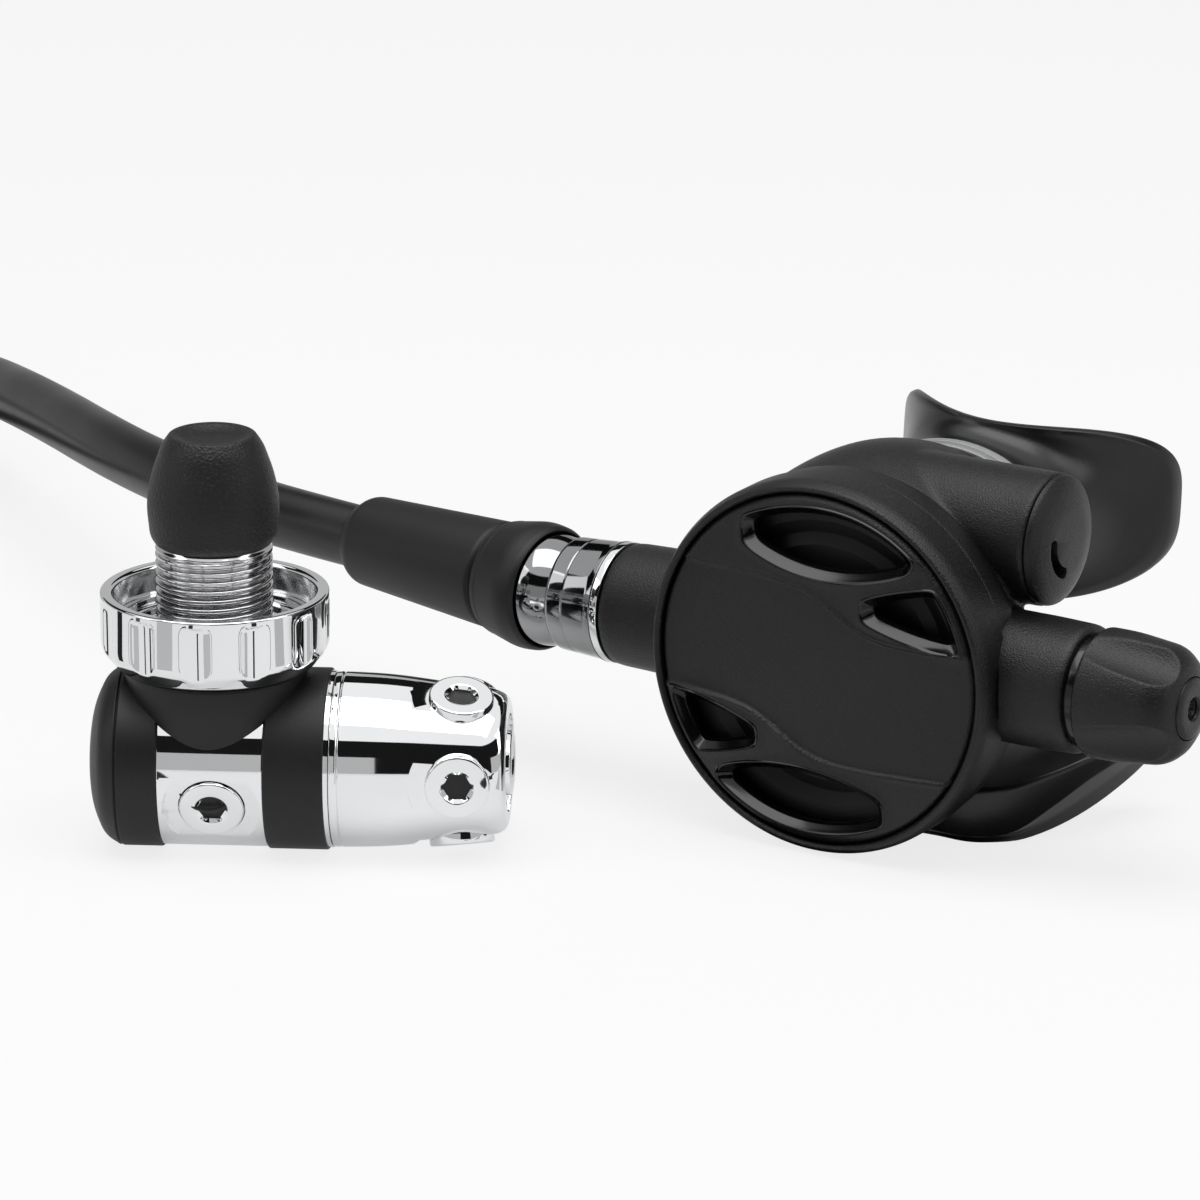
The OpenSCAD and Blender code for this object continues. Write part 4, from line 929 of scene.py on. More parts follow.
@dataclass
class FirstStage:
    """The first stage: chromed body, rubber boots, turret and DIN connection.

    Sizes are in millimetres along the body's own axis, +X towards the turret.
    """

    kit: Kit
    body_r: float = 17.5
    seat_r: float = 16.55
    left: float = -10.0
    right: float = 10.8
    boot_r: float = 17.9
    boot_end: float = -24.4
    saddle_low: float = 20.0
    band_end: float = 22.6
    turret_x: float = 23.55
    turret_r: float = 17.3
    turret_end_r: float = 14.2
    turret_len: float = 34.1
    port_x: float = 23.5
    port_face: float = 16.3
    port_sunk: float = 1.5
    port_tilt: float = 6.0
    port_step: float = 72.0
    spot_r: float = 9.7
    end_bore_r: float = 6.5
    high_floor: float = 16.1
    high_face: float = 17.0
    high_bore_r: float = 6.6
    high_x: float = 0.6
    high_fall: float = 20.0
    wheel_r: float = 22.4
    wheel_z: float = 36.9
    wheel_h: float = 14.8
    cup_r: float = 19.9
    grips: int = 12
    grip_turn: float = -5.0
    grip_r: float = 6.5
    grip_depth: float = 0.95
    thread_r: float = 11.45
    thread_bore_r: float = 6.6
    thread_depth: float = 1.05
    thread_pitch: float = 1.814
    thread_top: float = 61.4
    cap_r: float = 13.0
    cap_h: float = 22.1

    def ports(self) -> list[tuple[Array, Array]]:
        """Where the turret's ports are: five round it and one in its end.

        Returns:
            Each port's face centre and its outward direction.
        """
        found = []
        tilt = math.radians(self.port_tilt)
        for i in range(5):
            a = math.radians(90 - i * self.port_step)
            radial = np.array([0.0, -math.sin(a), math.cos(a)])
            out = unit(radial * math.cos(tilt) + np.array([math.sin(tilt), 0.0, 0.0]))
            middle = np.array([self.turret_x + self.port_x, 0.0, 0.0])
            found.append((middle + out * self.port_face, out))
        end = np.array([self.turret_x + self.turret_len + 0.7, 0.0, 0.0])
        found.append((end, np.array([1.0, 0.0, 0.0])))
        return found

    def body(self) -> None:
        """The chromed body with its spot-faced high-pressure ports."""
        profile = rounded([(self.left - 7, 0, 0), (self.left - 7, self.seat_r, 0.2),
                           (self.left, self.seat_r, 0), (self.left, self.body_r, 0.25),
                           (self.right, self.body_r, 0.25), (self.right, self.seat_r, 0),
                           (self.band_end, self.seat_r, 0.2), (self.band_end, 0, 0)])
        piece = mesh_piece("body_chrome", [turned(profile, Axis.X, 192)], FIRST_STAGE,
                           on_ground=True)
        middle = np.array([self.high_x, 0.0, 0.0])
        fall = math.radians(self.high_fall)
        ways = [np.array([0.0, side * math.cos(fall), -math.sin(fall)]) for side in (-1, 1)]
        cuts = (("spot", self.high_floor, 5, self.spot_r), ("bore", 11, 9, self.high_bore_r))
        carve(piece, [mesh_piece(name, [rod(middle + out * start, out, length, radius)],
                                 FIRST_STAGE)
                      for out in ways for name, start, length, radius in cuts])
        soften(piece, 0.22)
        self.kit.dress(piece, "first_stage_body")
        self.plugs("high_pressure", "high_port_plugs",
                   [(middle + out * self.high_face, out) for out in ways])

    def plugs(self, name: str, node: str, places: Sequence[tuple[Array, Array]]) -> None:
        """Port plugs, and dark blocks of painted shade in their sockets.

        Args:
            name: what the pieces' names start with.
            node: the CAD node that the plugs stand for.
            places: each plug's face centre and outward direction.
        """
        grids = [aimed(PortPlug().grid(), at, out) for at, out in places]
        self.kit.dress(mesh_piece(name + "_plugs", grids, FIRST_STAGE), node)
        # dark blocks in the sockets' deep ends: painted shade, in the near-black seal_rubber finish
        grids = [aimed(PortPlug().shade_block(), at, out) for at, out in places]
        piece = mesh_piece(name + "_socket_shade", grids, FIRST_STAGE)
        self.kit.dress(piece, node, "seal_rubber", stands_for=False)

    def boots(self) -> None:
        """The end boot, the band over the water holes and the saddle under the wheel."""
        end, r = self.boot_end, self.boot_r
        profile = rounded([(self.left, 0, 0), (self.left, r, 0.5), (end + 6.5, r, 0.3),
                           (end + 6.2, r - 0.4, 0.1), (end + 5.9, r - 0.08, 0.3),
                           (end + 3.0, r - 1.8, 2.2), (end + 0.8, r - 6.5, 2.6),
                           (end, r - 11, 2.0), (end, 0, 0)], steps=8)
        self.kit.lathe("end_cap_boot", "end_boot", profile, Axis.X, FIRST_STAGE, 160,
                       on_ground=True)
        inner = self.seat_r + 0.05
        profile = rounded([(self.right, inner, 0), (self.right, r, 0.45),
                           (self.band_end, r, 0.45), (self.band_end, inner, 0)], True)
        self.kit.lathe("water_band", "ambient_band", profile, Axis.X, FIRST_STAGE, 160,
                       wrap_rows=True, on_ground=True)
        low, top = self.saddle_low, self.wheel_z - 0.5
        profile = rounded([(low, 0, 0), (low, 15.6, 0), (low + 4, 16.2, 2), (top - 4, 17.9, 2.5),
                           (top, 18.0, 0.8), (top, 0, 0)], steps=8)
        self.kit.lathe("saddle_boot", "din_boot", profile, Axis.Z, DIN, 160)

    def turret(self) -> None:
        """The swivelling turret, its rim and its plugs."""
        x, r = self.turret_x, self.turret_r
        tip, tip_r = x + self.turret_len, self.turret_end_r
        profile = rounded([(x, 0, 0), (x, r - 0.1, 0.3), (x + 1.3, r, 0.2),
                           (x + 1.6, r - 0.25, 0.1), (x + 1.9, r - 0.02, 0.2),
                           (x + 11, r - 0.3, 6.0), (tip - 3, tip_r + 0.3, 2.5),
                           (tip, tip_r - 1.2, 1.6), (tip, 0, 0)], steps=10)
        piece = mesh_piece("turret_chrome", [turned(profile, Axis.X, 224)], FIRST_STAGE)
        tools = [mesh_piece("spot", [rod(centre - out * self.port_sunk, out, 8, self.spot_r)],
                            FIRST_STAGE) for centre, out in self.ports()]
        end = self.ports()[-1][0]
        tools.append(mesh_piece("end_bore", [rod(end - (6, 0, 0), (1, 0, 0), 9,
                                                 self.end_bore_r)], FIRST_STAGE))
        carve(piece, tools)
        soften(piece, 0.2)
        self.kit.dress(piece, "turret")
        self.plugs("low_pressure", "low_port_plugs", self.ports())
        near, far, rim = self.band_end, self.band_end + 0.9, self.body_r - 0.1
        profile = rounded([(near, 12, 0), (near, rim, 0.2), (far, rim, 0.25), (far, 12, 0)], True)
        self.kit.lathe("rim_ring", "piston_cap", profile, Axis.X, FIRST_STAGE, 192,
                       stands_for=False, wrap_rows=True, on_ground=True)

    def wheel(self) -> None:
        """The handwheel: a cup whose outer wall is scooped into grips that run out at its top."""
        z0, z1, r, cup = self.wheel_z, self.wheel_z + self.wheel_h, self.wheel_r, self.cup_r
        outer = rounded([(z0, 8, 0), (z0, r - 3.0, 0.8), (z0 + 3.4, r - 0.3, 2.0), (z0 + 5, r, 1.2),
                         (z1, r, 0.5), (z1, cup + 0.4, 0.3), (z1 - 0.6, cup, 0.3),
                         (z0 + 9.0, cup, 0.2), (z0 + 9.0, cup - 1.6, 0.2),
                         (z0 + 7.4, cup - 1.6, 0.2), (z0 + 7.4, cup - 3.4, 0.2),
                         (z0 + 6.0, cup - 3.4, 0.2), (z0 + 6.0, 8, 0)], steps=8)
        rows = dense(outer, 0.7)
        angle = np.linspace(0, 2 * np.pi, 384, endpoint=False)
        scoop = scoops(angle, self.grips, self.grip_turn, r - self.grip_depth + self.grip_r,
                       self.grip_r)
        below_top, fade = 2.2, 0.9
        rise = np.maximum(0, (rows[:, :1] - z1 + below_top) / fade) ** 2
        limit = scoop[None, :] + self.grip_depth * rise
        grid = limited(rows, limit, angle, cup + 0.45, 0.05, Axis.Z)
        self.kit.dress(mesh_piece("handwheel", [grid], DIN, wrap_rows=True, sharp=30),
                       "din_handwheel")
        low, high, wall_r, back_r = z0 + 9.1, z1 - 0.8, cup - 0.01, cup - 0.04
        wall = np.array([(low, wall_r), (high, wall_r), (high, back_r), (low, back_r)])
        self.kit.lathe("wheel_cup", "din_handwheel", wall, Axis.Z, DIN, 192, "plated_brass",
                       stands_for=False, wrap_rows=True)

    def thread(self) -> None:
        """The DIN thread: its radius follows a wave that climbs one pitch a turn."""
        bottom, top, count, rows_per_turn = self.wheel_z + 6, self.thread_top, 144, 14
        z = np.arange(bottom, top, self.thread_pitch / rows_per_turn)[:, None]
        angle = np.linspace(0, 2 * np.pi, count, endpoint=False)[None, :]
        phase = (z / self.thread_pitch - angle / (2 * np.pi)) % 1
        flank, crest = 3.6, 1.35
        wave = np.clip(crest - np.abs(phase - 0.5) * flank, 0, 1)
        fade = step((z - bottom - 1.0) / 1.2) * step((top - 0.9 - z) / 0.9)
        radius = self.thread_r - self.thread_depth * step(wave) * fade
        radius = radius - 0.5 * step((z - top + 1.0) / 1.0)
        inner = np.full((1, count), self.thread_bore_r)
        along = np.concatenate([np.full((1, count), bottom), z * np.ones(count),
                                np.full((1, count), top)])
        grid = round_axis(along, np.concatenate([inner, radius, inner]), angle, Axis.Z)
        self.kit.dress(mesh_piece("port_thread", [grid], DIN, wrap_rows=True, sharp=60),
                       "din_thread")

    def cap(self) -> None:
        """The protective cap: a barrel shape with a dished top."""
        z0, z1, r = self.thread_top + 0.1, self.thread_top + 0.1 + self.cap_h, self.cap_r
        profile = rounded([(z1 - 5, 0, 0), (z1 - 5, 9.5, 0), (z0, 9.5, 0.1), (z0, r - 1.6, 0.4),
                           (z0 + 1.6, r - 0.6, 1.0), (z0 + 8, r + 0.05, 5),
                           (z0 + 13.5, r - 0.9, 4.5), (z1 - 2.6, r - 3.0, 2.0),
                           (z1 - 0.3, r - 4.6, 1.6), (z1 - 0.3, r - 5.6, 0.9),
                           (z1 - 1.3, r - 8.0, 1.6), (z1 - 1.4, 0, 0)], steps=12)
        self.kit.lathe("dust_cap", "din_cap", profile, Axis.Z, DIN, 160, sharp=60)

    def build(self) -> None:
        """Builds and dresses every piece of the first stage."""
        self.body()
        self.boots()
        self.turret()
        self.wheel()
        self.thread()
        self.cap()


@dataclass
class Hose:
    """The hose with its coil, sleeve, swivel and far fitting."""

    kit: Kit
    radius: float = 6.5
    coil_r: float = 58.0
    coil_pitch: float = 14.0
    coil_loops: float = 1.2
    coil_straight: float = 13.0
    coil_drop: float = 160.0
    end_lift: float = 1.2
    sleeve_near: float = 12.6
    sleeve_far: float = 52.0
    sleeve_r: float = 11.05
    sleeve_tip_r: float = 9.3
    collar_r: float = 13.1
    ball_r: float = 11.5
    route: Array = field(default_factory=lambda: np.array([
        [-33, 83.3, 37.9], [-47, 86.6, 37.7], [-61, 91.4, 37.3], [-75, 97.4, 36.8],
        [-89, 104.6, 36.1], [-103, 113.0, 35.2], [-117, 122.4, 34.1], [-131, 132.4, 32.8],
        [-145, 142.6, 31.2], [-159, 152.9, 29.3], [-173, 163.2, 27.1], [-187, 172.6, 24.8],
        [-201, 180.4, 22.5], [-215, 186.6, 20.3], [-229, 191.4, 18.2]]))

    def coil(self) -> Array:
        """The coil's centreline: a spiral whose radius grows by one pitch a turn.

        Its height falls as a parabola from the free stretch to the ground, and rises a little at
        its end.

        Returns:
            The centreline's points.
        """
        last = self.route[-1] - self.route[-2]
        heading = math.atan2(last[1], last[0])
        fall = last[2] / math.hypot(last[0], last[1])
        along = np.array([math.cos(heading), math.sin(heading), fall])
        start = self.route[-1] + self.coil_straight * along
        centre = start[:2] + self.coil_r * np.array([-math.sin(heading), math.cos(heading)])
        turn = self.coil_loops * 2 * np.pi
        a = np.linspace(0, turn, round(24 * self.coil_loops) + 1)
        r = self.coil_r + self.coil_pitch * a / (2 * np.pi)
        drop = np.maximum(0, 1 - self.coil_r * a / self.coil_drop)
        lift = np.maximum(0, 1 - np.degrees(turn - a) / 30)
        z = self.radius + (start[2] - self.radius) * drop ** 2 + self.end_lift * lift
        out = heading - np.pi / 2 + a
        loop = np.stack([centre[0] + r * np.cos(out), centre[1] + r * np.sin(out), z], axis=-1)
        way = heading + turn
        tail = loop[-1] + self.coil_straight * np.array([math.cos(way), math.sin(way), 0])
        return np.concatenate([loop, tail[None]])

    def hose(self) -> None:
        """The whole hose as one tube."""
        axis = HOSE_END.row(np.array([[-self.sleeve_far + 8, 0, 0], [-self.sleeve_far, 0, 0]]))
        coarse = np.concatenate([axis, self.route, self.coil()])
        path = resample(coarse, 3.0)
        piece = mesh_piece("supply_hose", [swept(path, self.radius, 40)], Place(), sharp=60)
        self.kit.dress(piece, "hose")
        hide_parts("hose_coil")
        self.kit.dressed.add("hose_coil")

    def sleeve(self) -> None:
        """The rubber sleeve over the hose's end and the collar of the ball swivel."""
        near, far = -self.sleeve_near, -self.sleeve_far
        profile = rounded([(far, self.radius + 0.02, 0), (far, self.radius + 0.9, 0.4),
                           (far + 2.6, self.sleeve_tip_r, 1.2), (near - 1.0, self.sleeve_r, 0.6),
                           (near - 0.1, self.sleeve_r - 0.9, 0.3), (near, 6.6, 0)], True, 8)
        self.kit.lathe("hose_protector", "hose_sleeve", profile, Axis.X, HOSE_END,
                       wrap_rows=True)
        profile = rounded([(near, 6.2, 0), (near, self.sleeve_r - 0.6, 0.3),
                           (near + 0.8, self.sleeve_r + 0.5, 0.4), (-8, self.collar_r - 0.8, 3.0),
                           (-3.5, self.collar_r + 0.05, 2.5), (-0.2, self.collar_r - 0.35, 0.9),
                           (0.6, self.collar_r - 0.95, 0.3), (0.5, self.ball_r + 0.36, 0.2),
                           (near + 2, self.ball_r + 0.36, 0), (near + 2, 6.2, 0)], True, 8)
        self.kit.lathe("swivel_cover", "swivel_collar", profile, Axis.X, HOSE_END,
                       wrap_rows=True)

    def swivel(self) -> None:
        """The ball with its neck, the swivel nut and the thin ring at the case."""
        polar = np.linspace(0.0, np.pi * 0.72, 48)
        ball = np.stack([self.ball_r * np.cos(polar), self.ball_r * np.sin(polar)], axis=-1)
        ball = np.concatenate([ball, [[ball[-1, 0], 0.0]]])
        neck = np.array([[5, 0], [5, 8.0], [13.5, 8.0], [13.5, 0]])
        grids = [turned(profile, Axis.X) for profile in (ball, neck)]
        self.kit.dress(mesh_piece("ball", grids, Place(HOSE_END.origin)), "swivel_ball")
        nut = [(-66.5, 8.05, 0), (-66.5, 11.15, 0.3), (-65.9, 11.5, 0.3), (-62.6, 11.62, 0.1),
               (-62.4, 11.5, 0.06), (-62.2, 11.64, 0.1), (-57.0, 12.0, 0.3), (-55.5, 12.3, 0.15),
               (-55.5, 8.05, 0)]
        ring = [(-55.4, 8.05, 0), (-55.4, 12.25, 0.2), (-53.75, 12.25, 0.2), (-53.75, 8.05, 0)]
        for name, node, corners in (("swivel_nut", "swivel_body", nut),
                                    ("inlet_ring", "swivel_ring", ring)):
            self.kit.lathe(name, node, rounded(corners, True), Axis.X, BARREL, wrap_rows=True)

    def build(self) -> None:
        """Builds and dresses every piece of the hose."""
        self.hose()
        self.sleeve()
        self.swivel()


@dataclass
class WaterSlot:
    """One water slot of the cover: a lens or fin outline with a glossy rim.

    Attributes:
        centre: the outline's middle (x, z) in the second stage's frame.
        tilt: its turn towards -Z on the +X side, in degrees.
        length: the length of the lens that it is cut from.
        height: its inner height.
        cut: how far from the middle its blunt ends lie.
        fin: whether its outer end follows the cover's edge.
        flip: whether it is the half-turn image.
        edge_r: the radius that no slot's outline passes.
        blunt: the width that its corners are rounded over.
    """

    centre: tuple[float, float]
    tilt: float
    length: float
    height: float
    cut: float
    fin: bool
    flip: bool
    edge_r: float = 31.6
    blunt: float = 0.8

    def distance(self, x: Array, z: Array, grow: float = 0.0) -> Array:
        """How far points lie outside the outline; negative inside.

        A lens is what two circles share: the larger of the two distances from the circles. Its
        ends are cut straight, and every corner is rounded by a soft maximum.

        Args:
            x: the points' x.
            z: their z.
            grow: how far the outline is moved outwards first.

        Returns:
            The distances.
        """
        sign = -1.0 if self.flip else 1.0
        x, z = sign * x, sign * z
        c, s = math.cos(math.radians(self.tilt)), math.sin(math.radians(self.tilt))
        dx, dz = x - self.centre[0], z - self.centre[1]
        u, v = dx * c - dz * s, dx * s + dz * c
        half = self.length if self.fin else self.length / 2
        u = u - (self.length / 2 if self.fin else 0)
        big = (half * half + (self.height / 2) ** 2) / self.height
        lens = np.maximum(np.hypot(u, v + big - self.height / 2),
                          np.hypot(u, v - big + self.height / 2)) - big
        tip = -u - self.cut if self.fin else np.abs(u) - self.cut
        end = np.maximum(np.hypot(x, z) - self.edge_r, tip)
        return -soft_min(-lens, -end, self.blunt) - grow

    def outline(self, grow: float, count: int = 120) -> Array:
        """The outline's points (x, z), found along rays from its middle by bisection.

        Args:
            grow: how far outside the inner outline it lies.
            count: points round it.

        Returns:
            The points in order.
        """
        farthest, halvings = 32.0, 40
        sign = -1.0 if self.flip else 1.0
        angle = np.linspace(0, 2 * np.pi, count, endpoint=False)
        way = np.stack([np.cos(angle), np.sin(angle)], axis=-1)
        shift = 1.5 if self.fin else 0.0
        middle = sign * (np.array(self.centre) + (shift, 0.0))
        low, high = np.zeros(count), np.full(count, farthest)
        for _ in range(halvings):
            mid = (low + high) / 2
            at = middle + way * mid[:, None]
            outside = self.distance(at[:, 0], at[:, 1], grow) > 0
            low, high = np.where(outside, low, mid), np.where(outside, mid, high)
        return middle + way * low[:, None]


@dataclass
class SecondStage:
    """The second stage: cover, case, knob, flow cap, exhaust deflector and mouthpiece."""

    kit: Kit
    face_r: float = 35.2
    face_cut: float = 2.2
    band_depth: float = 0.6
    band_half: float = 12.6
    band_swing: float = 5.1
    band_shift: float = 6.0
    band_ease: float = 8.0
    crown: float = 3.4
    ring_r: float = 37.9
    ring_depth: float = 9.4
    rim_r: float = 37.3
    rim_back: float = 17.0
    dome_swell: float = 3.2
    housing_r: float = 13.0
    housing_left: float = -53.6
    housing_right: float = 51.4
    bore_r: float = 7.7
    outlet_z: float = -22.0
    outlet_r: float = 13.9
    knob_x: float = 53.6
    knob_r: float = 12.8
    knob_len: float = 19.7
    knob_turn: float = 30.0
    scoop_r: float = 9.5
    scoop_depth: float = 4.4
    scoop_climb: float = 0.2
    flow_r: float = 13.2
    flow_end: float = 37.0
    mouth_h: float = 17.0
    neck_a: float = 21.0
    neck_b: float = 15.5
    neck_bore: tuple[float, float] = (16.2, 10.5)
    shield_a: float = 31.5
    shield_b: float = 18.4
    shield_roll: float = 2.5
    shield_drop: float = 0.2
    shield_y: float = 63.7
    shield_bow: float = 37.5
    lug_x: float = 20.0
    lug_half: float = 8.0
    lug_thick: float = 1.5
    lug_end: float = 89.5
    tab_half: tuple[float, float, float] = (8.2, 1.5, 4.6)
    tab_yaw: float = 19.0
    wing_half: float = 46.5
    wing_floor: float = -37.85
    wing_rows: tuple = (
        (-0.02, ((21, -38), (17.6, -35.5), (17.6, -27), (45, -25), (46, -36.5))),
        (0.31, ((21.5, -38), (18, -35.6), (18, -27), (46, -23), (47.5, -35.5))),
        (0.53, ((22.5, -38), (20, -35.8), (20, -26), (48, -21), (50.5, -34))),
        (0.68, ((29, -37.6), (24.2, -34.6), (23, -25), (50, -19), (53.5, -33))),
        (0.8, ((38, -34.9), (31, -29.8), (30, -23), (53, -18), (57, -30.5))),
        (0.9, ((46, -30.6), (38.5, -25.2), (38, -21), (56, -17.5), (60, -27.5))),
        (0.97, ((52, -26.2), (46, -22.8), (46, -20.8), (58, -18.3), (61, -24))),
        (1.0, ((54.5, -23.6), (52.6, -22.4), (53, -21.2), (57, -20.4), (58.4, -22))))
    slots: tuple[WaterSlot, ...] = (
        WaterSlot((2.9, 26.6), 1.0, 40.0, 10.0, 17.0, False, False),
        WaterSlot((2.9, 26.6), 1.0, 40.0, 10.0, 17.0, False, True),
        WaterSlot((23.8, 14.8), 0.0, 23.0, 9.0, 21.6, True, False, blunt=0.5),
        WaterSlot((23.8, 14.8), 0.0, 23.0, 9.0, 21.6, True, True, blunt=0.5))
    wall_steps: tuple[tuple[float, float], ...] = (
        (2.5, 0.25), (2.45, -0.1), (2.25, -0.26), (2.05, -0.2), (1.85, 0.05), (1.3, 0.75),
        (0.75, 1.3), (0.45, 1.7), (0.35, 2.1), (0.35, 2.7), (0.8, 2.8), (2.5, 2.4))

    def face_y(self, x: Array, z: Array) -> Array:
        """The cover's face: a shallow sphere with a sunk S-shaped band and raised slot rims.

        The band lies between the curve z = h + w tanh((s - x) / e) and its half-turn image.
        Outside it the face stands proud by the band's depth, with a low ridge along the step.

        Args:
            x: the points' x.
            z: their z.

        Returns:
            Each point's y.
        """
        r2 = x * x + z * z
        sphere = (self.face_r ** 2 + self.crown ** 2) / (2 * self.crown)
        y = sphere - self.crown - np.sqrt(np.maximum(sphere ** 2 - r2, 1))
        below, above = (
            side * (self.band_half
                    + self.band_swing * np.tanh((self.band_shift - side * x) / self.band_ease))
            for side in (-1, 1))
        ridge_h, ridge_at, ridge_w = 0.28, 0.9, 0.45
        for past in (below - z, z - above):
            y = y - self.band_depth * step(past / 0.8)
            y = y - ridge_h * np.exp(-((past - ridge_at) / ridge_w) ** 2)
        rim_h, rim_grow, rim_at, rim_w = 0.3, 2.1, 0.3, 1.1
        for slot in self.slots:
            away = slot.distance(x, z, rim_grow)
            y = y - rim_h * np.exp(-((away - rim_at) / rim_w) ** 2)
        edge_w, edge_drop = 1.1, 0.7
        edge = step((np.sqrt(r2) - self.face_r + edge_w) / edge_w)
        return y + edge_drop * edge ** 2

    def cover(self) -> None:
        """The cover's face with its four slots, and their glossy walls."""
        rows, count, thickness, deep = 100, 480, 2.2, 9
        r = self.face_r * np.linspace(0, 1, rows)[:, None]
        angle = np.linspace(0, 2 * np.pi, count, endpoint=False)
        x, z = r * np.sin(angle), r * np.cos(angle)
        front = np.stack([x, self.face_y(x, z), z], axis=-1)
        back = front[::-11] + (0, thickness, 0)
        piece = mesh_piece("cover_face", [np.concatenate([front, back])], SECOND_STAGE, sharp=50)
        tools = []
        for slot in self.slots:
            line = slot.outline(self.face_cut)
            flat = np.stack([line[:, 0], np.zeros(len(line)), line[:, 1]], axis=-1)
            cutter = capped(np.stack([flat - (0, deep, 0), flat + (0, deep, 0)]))
            tools.append(mesh_piece("slot", [cutter], SECOND_STAGE))
        carve(piece, tools, 50)
        self.kit.dress(piece, "purge_cover")
        walls = [self.slot_wall(slot) for slot in self.slots]
        piece = mesh_piece("slot_walls", walls, SECOND_STAGE, wrap_rows=True, sharp=45)
        self.kit.dress(piece, "purge_cover", "gloss_black", stands_for=False)

    def slot_wall(self, slot: WaterSlot) -> Array:
        """A slot's wall: its outline carried down and inwards from the face.

        Args:
            slot: the slot.

        Returns:
            A closed ring of points, steps down the wall by points round the outline.
        """
        rows = []
        for grow, down in self.wall_steps:
            line = slot.outline(grow, 160)
            lift = self.face_y(line[:, 0], line[:, 1]) + down
            rows.append(np.stack([line[:, 0], lift, line[:, 1]], axis=-1))
        return np.stack(rows)

    def ring(self) -> None:
        """The threaded ring round the cover."""
        inner, seat, back = self.face_r + 0.35, self.face_r + 1.1, self.ring_depth - 0.06
        profile = rounded([(4.5, seat, 0), (0.9, seat, 0), (0.9, inner, 0.1), (-0.25, inner, 0.35),
                           (-0.95, inner + 0.75, 0.5), (-0.6, self.ring_r - 0.9, 1.0),
                           (1.6, self.ring_r - 0.02, 1.6),
                           (self.ring_depth - 0.4, self.ring_r, 0.35),
                           (back, self.ring_r - 0.5, 0.2), (back, self.face_r + 0.25, 0),
                           (4.5, self.face_r + 0.25, 0)], True, 8)
        self.kit.lathe("front_ring", "cover_ring", profile, Axis.Y, SECOND_STAGE, 256,
                       wrap_rows=True)

    def ovals(self, half_x: Array, half_z: Array, depth: Array, height: Array,
              count: int = 192) -> Array:
        """Ovals one behind the other.

        Args:
            half_x: each oval's half width.
            half_z: its half height.
            depth: its distance behind the cover.
            height: its middle's height.
            count: points round each.

        Returns:
            A grid of points, ovals by angle.
        """
        angle = np.linspace(0, 2 * np.pi, count, endpoint=False)[None, :]
        return np.stack([half_x * np.sin(angle), depth * np.ones_like(angle),
                         height + half_z * np.cos(angle)], axis=-1)

    def neck_ovals(self, rows: Sequence[tuple[float, float]], count: int) -> Array:
        """Ovals round the mouthpiece's neck, from (depth, growth over the neck) of each."""
        depth, grow = np.array(rows).T[:, :, None]
        return self.ovals(self.neck_a + grow, self.neck_b + grow, depth, self.mouth_h, count)

    def dome(self) -> Array:
        """The case's back: ovals that shrink and climb from the rim to the neck.

        Returns:
            A closed grid of points, front to back.
        """
        start, end, inset = self.rim_back - 2, 45.6, 1.2
        tuck_from, tuck_over, tuck = 0.9, 0.1, 0.135
        t = np.linspace(0, 1, 40)[:, None]
        ease = step(t)
        tucked = np.sqrt(1 - ((t - tuck_from) / tuck_over).clip(0, 1) ** 2 * tuck)
        half_x = ((1 - ease) * (self.rim_r - inset) + ease * (self.neck_a + inset)) * tucked
        half_z = ((1 - ease) * (self.rim_r - inset) + ease * (self.neck_b + 2 * inset)) * tucked
        half_z = half_z + self.dome_swell * np.sin(np.pi * t)
        return capped(self.ovals(half_x, half_z, start + t * (end - start), ease * self.mouth_h))

    def room(self) -> Array:
        """The hollow of the case, cut out of it from the front to the mouth.

        Returns:
            A closed grid of points, front to back.
        """
        wall, neck_wall, rows = 7.0, 4.8, 14
        front, back, least, most = -4, 52, 0.08, 0.95
        ease = step(np.clip(np.linspace(0, 1, rows)[:, None], least, most))
        half_x = (1 - ease) * (self.rim_r - wall) + ease * (self.neck_a - neck_wall)
        half_z = (1 - ease) * (self.rim_r - wall) + ease * (self.neck_b - neck_wall)
        depth = np.linspace(front, back, rows)[:, None]
        return capped(self.ovals(half_x, half_z, depth, ease * self.mouth_h))

    def case(self) -> None:
        """The case: rim, domed back, valve barrel, flow housing and neck, melted into one."""
        front, seat_r, left, right = 5.2, 32.3, self.housing_left, self.housing_right
        barrel = rounded([(left, 0, 0), (left, 12.15, 0.4), (left + 2.2, 12.4, 0.4),
                          (-30, self.housing_r, 2), (42, self.housing_r, 2),
                          (right - 1.4, 12.75, 0.3), (right, 12.5, 0.4), (right, 0, 0)])
        end = self.flow_end - 0.2
        flow = rounded([(0, 0, 0), (0, self.flow_r, 0), (end, self.flow_r, 0.3), (end, 0, 0)])
        outlet = np.array([0.0, 31.0, self.outlet_z])
        piece = mesh_piece("case_shell", [self.dome()], SECOND_STAGE)
        join(piece, [mesh_piece("barrel", [turned(barrel, Axis.X, 192)], BARREL),
                     mesh_piece("flow", [turned(flow, Axis.X, 192)], FLOW),
                     mesh_piece("seat", [rod(outlet, (0, 0, -1), 11.5, 15.5)], SECOND_STAGE)])
        fuse(piece, 0.6, 5)
        cutters = (
            ("front", rod((0, front - 12, 0), (0, 1, 0), 12, self.ring_r + 0.35), SECOND_STAGE),
            ("room", self.room(), SECOND_STAGE),
            ("bore", rod((left - 1, 0, 0), (1, 0, 0), 120, self.bore_r), BARREL),
            ("flow_bore", rod((11, 0, 0), (1, 0, 0), 33, 10.5), FLOW),
            ("outlet", rod(outlet - (0, 0, 5), (0, 0, -1), 10, self.outlet_r), SECOND_STAGE))
        carve(piece, [mesh_piece(name, [grid], place) for name, grid, place in cutters],
              JOINED_SHARP)
        depth, r, back = self.ring_depth, self.rim_r, self.rim_back
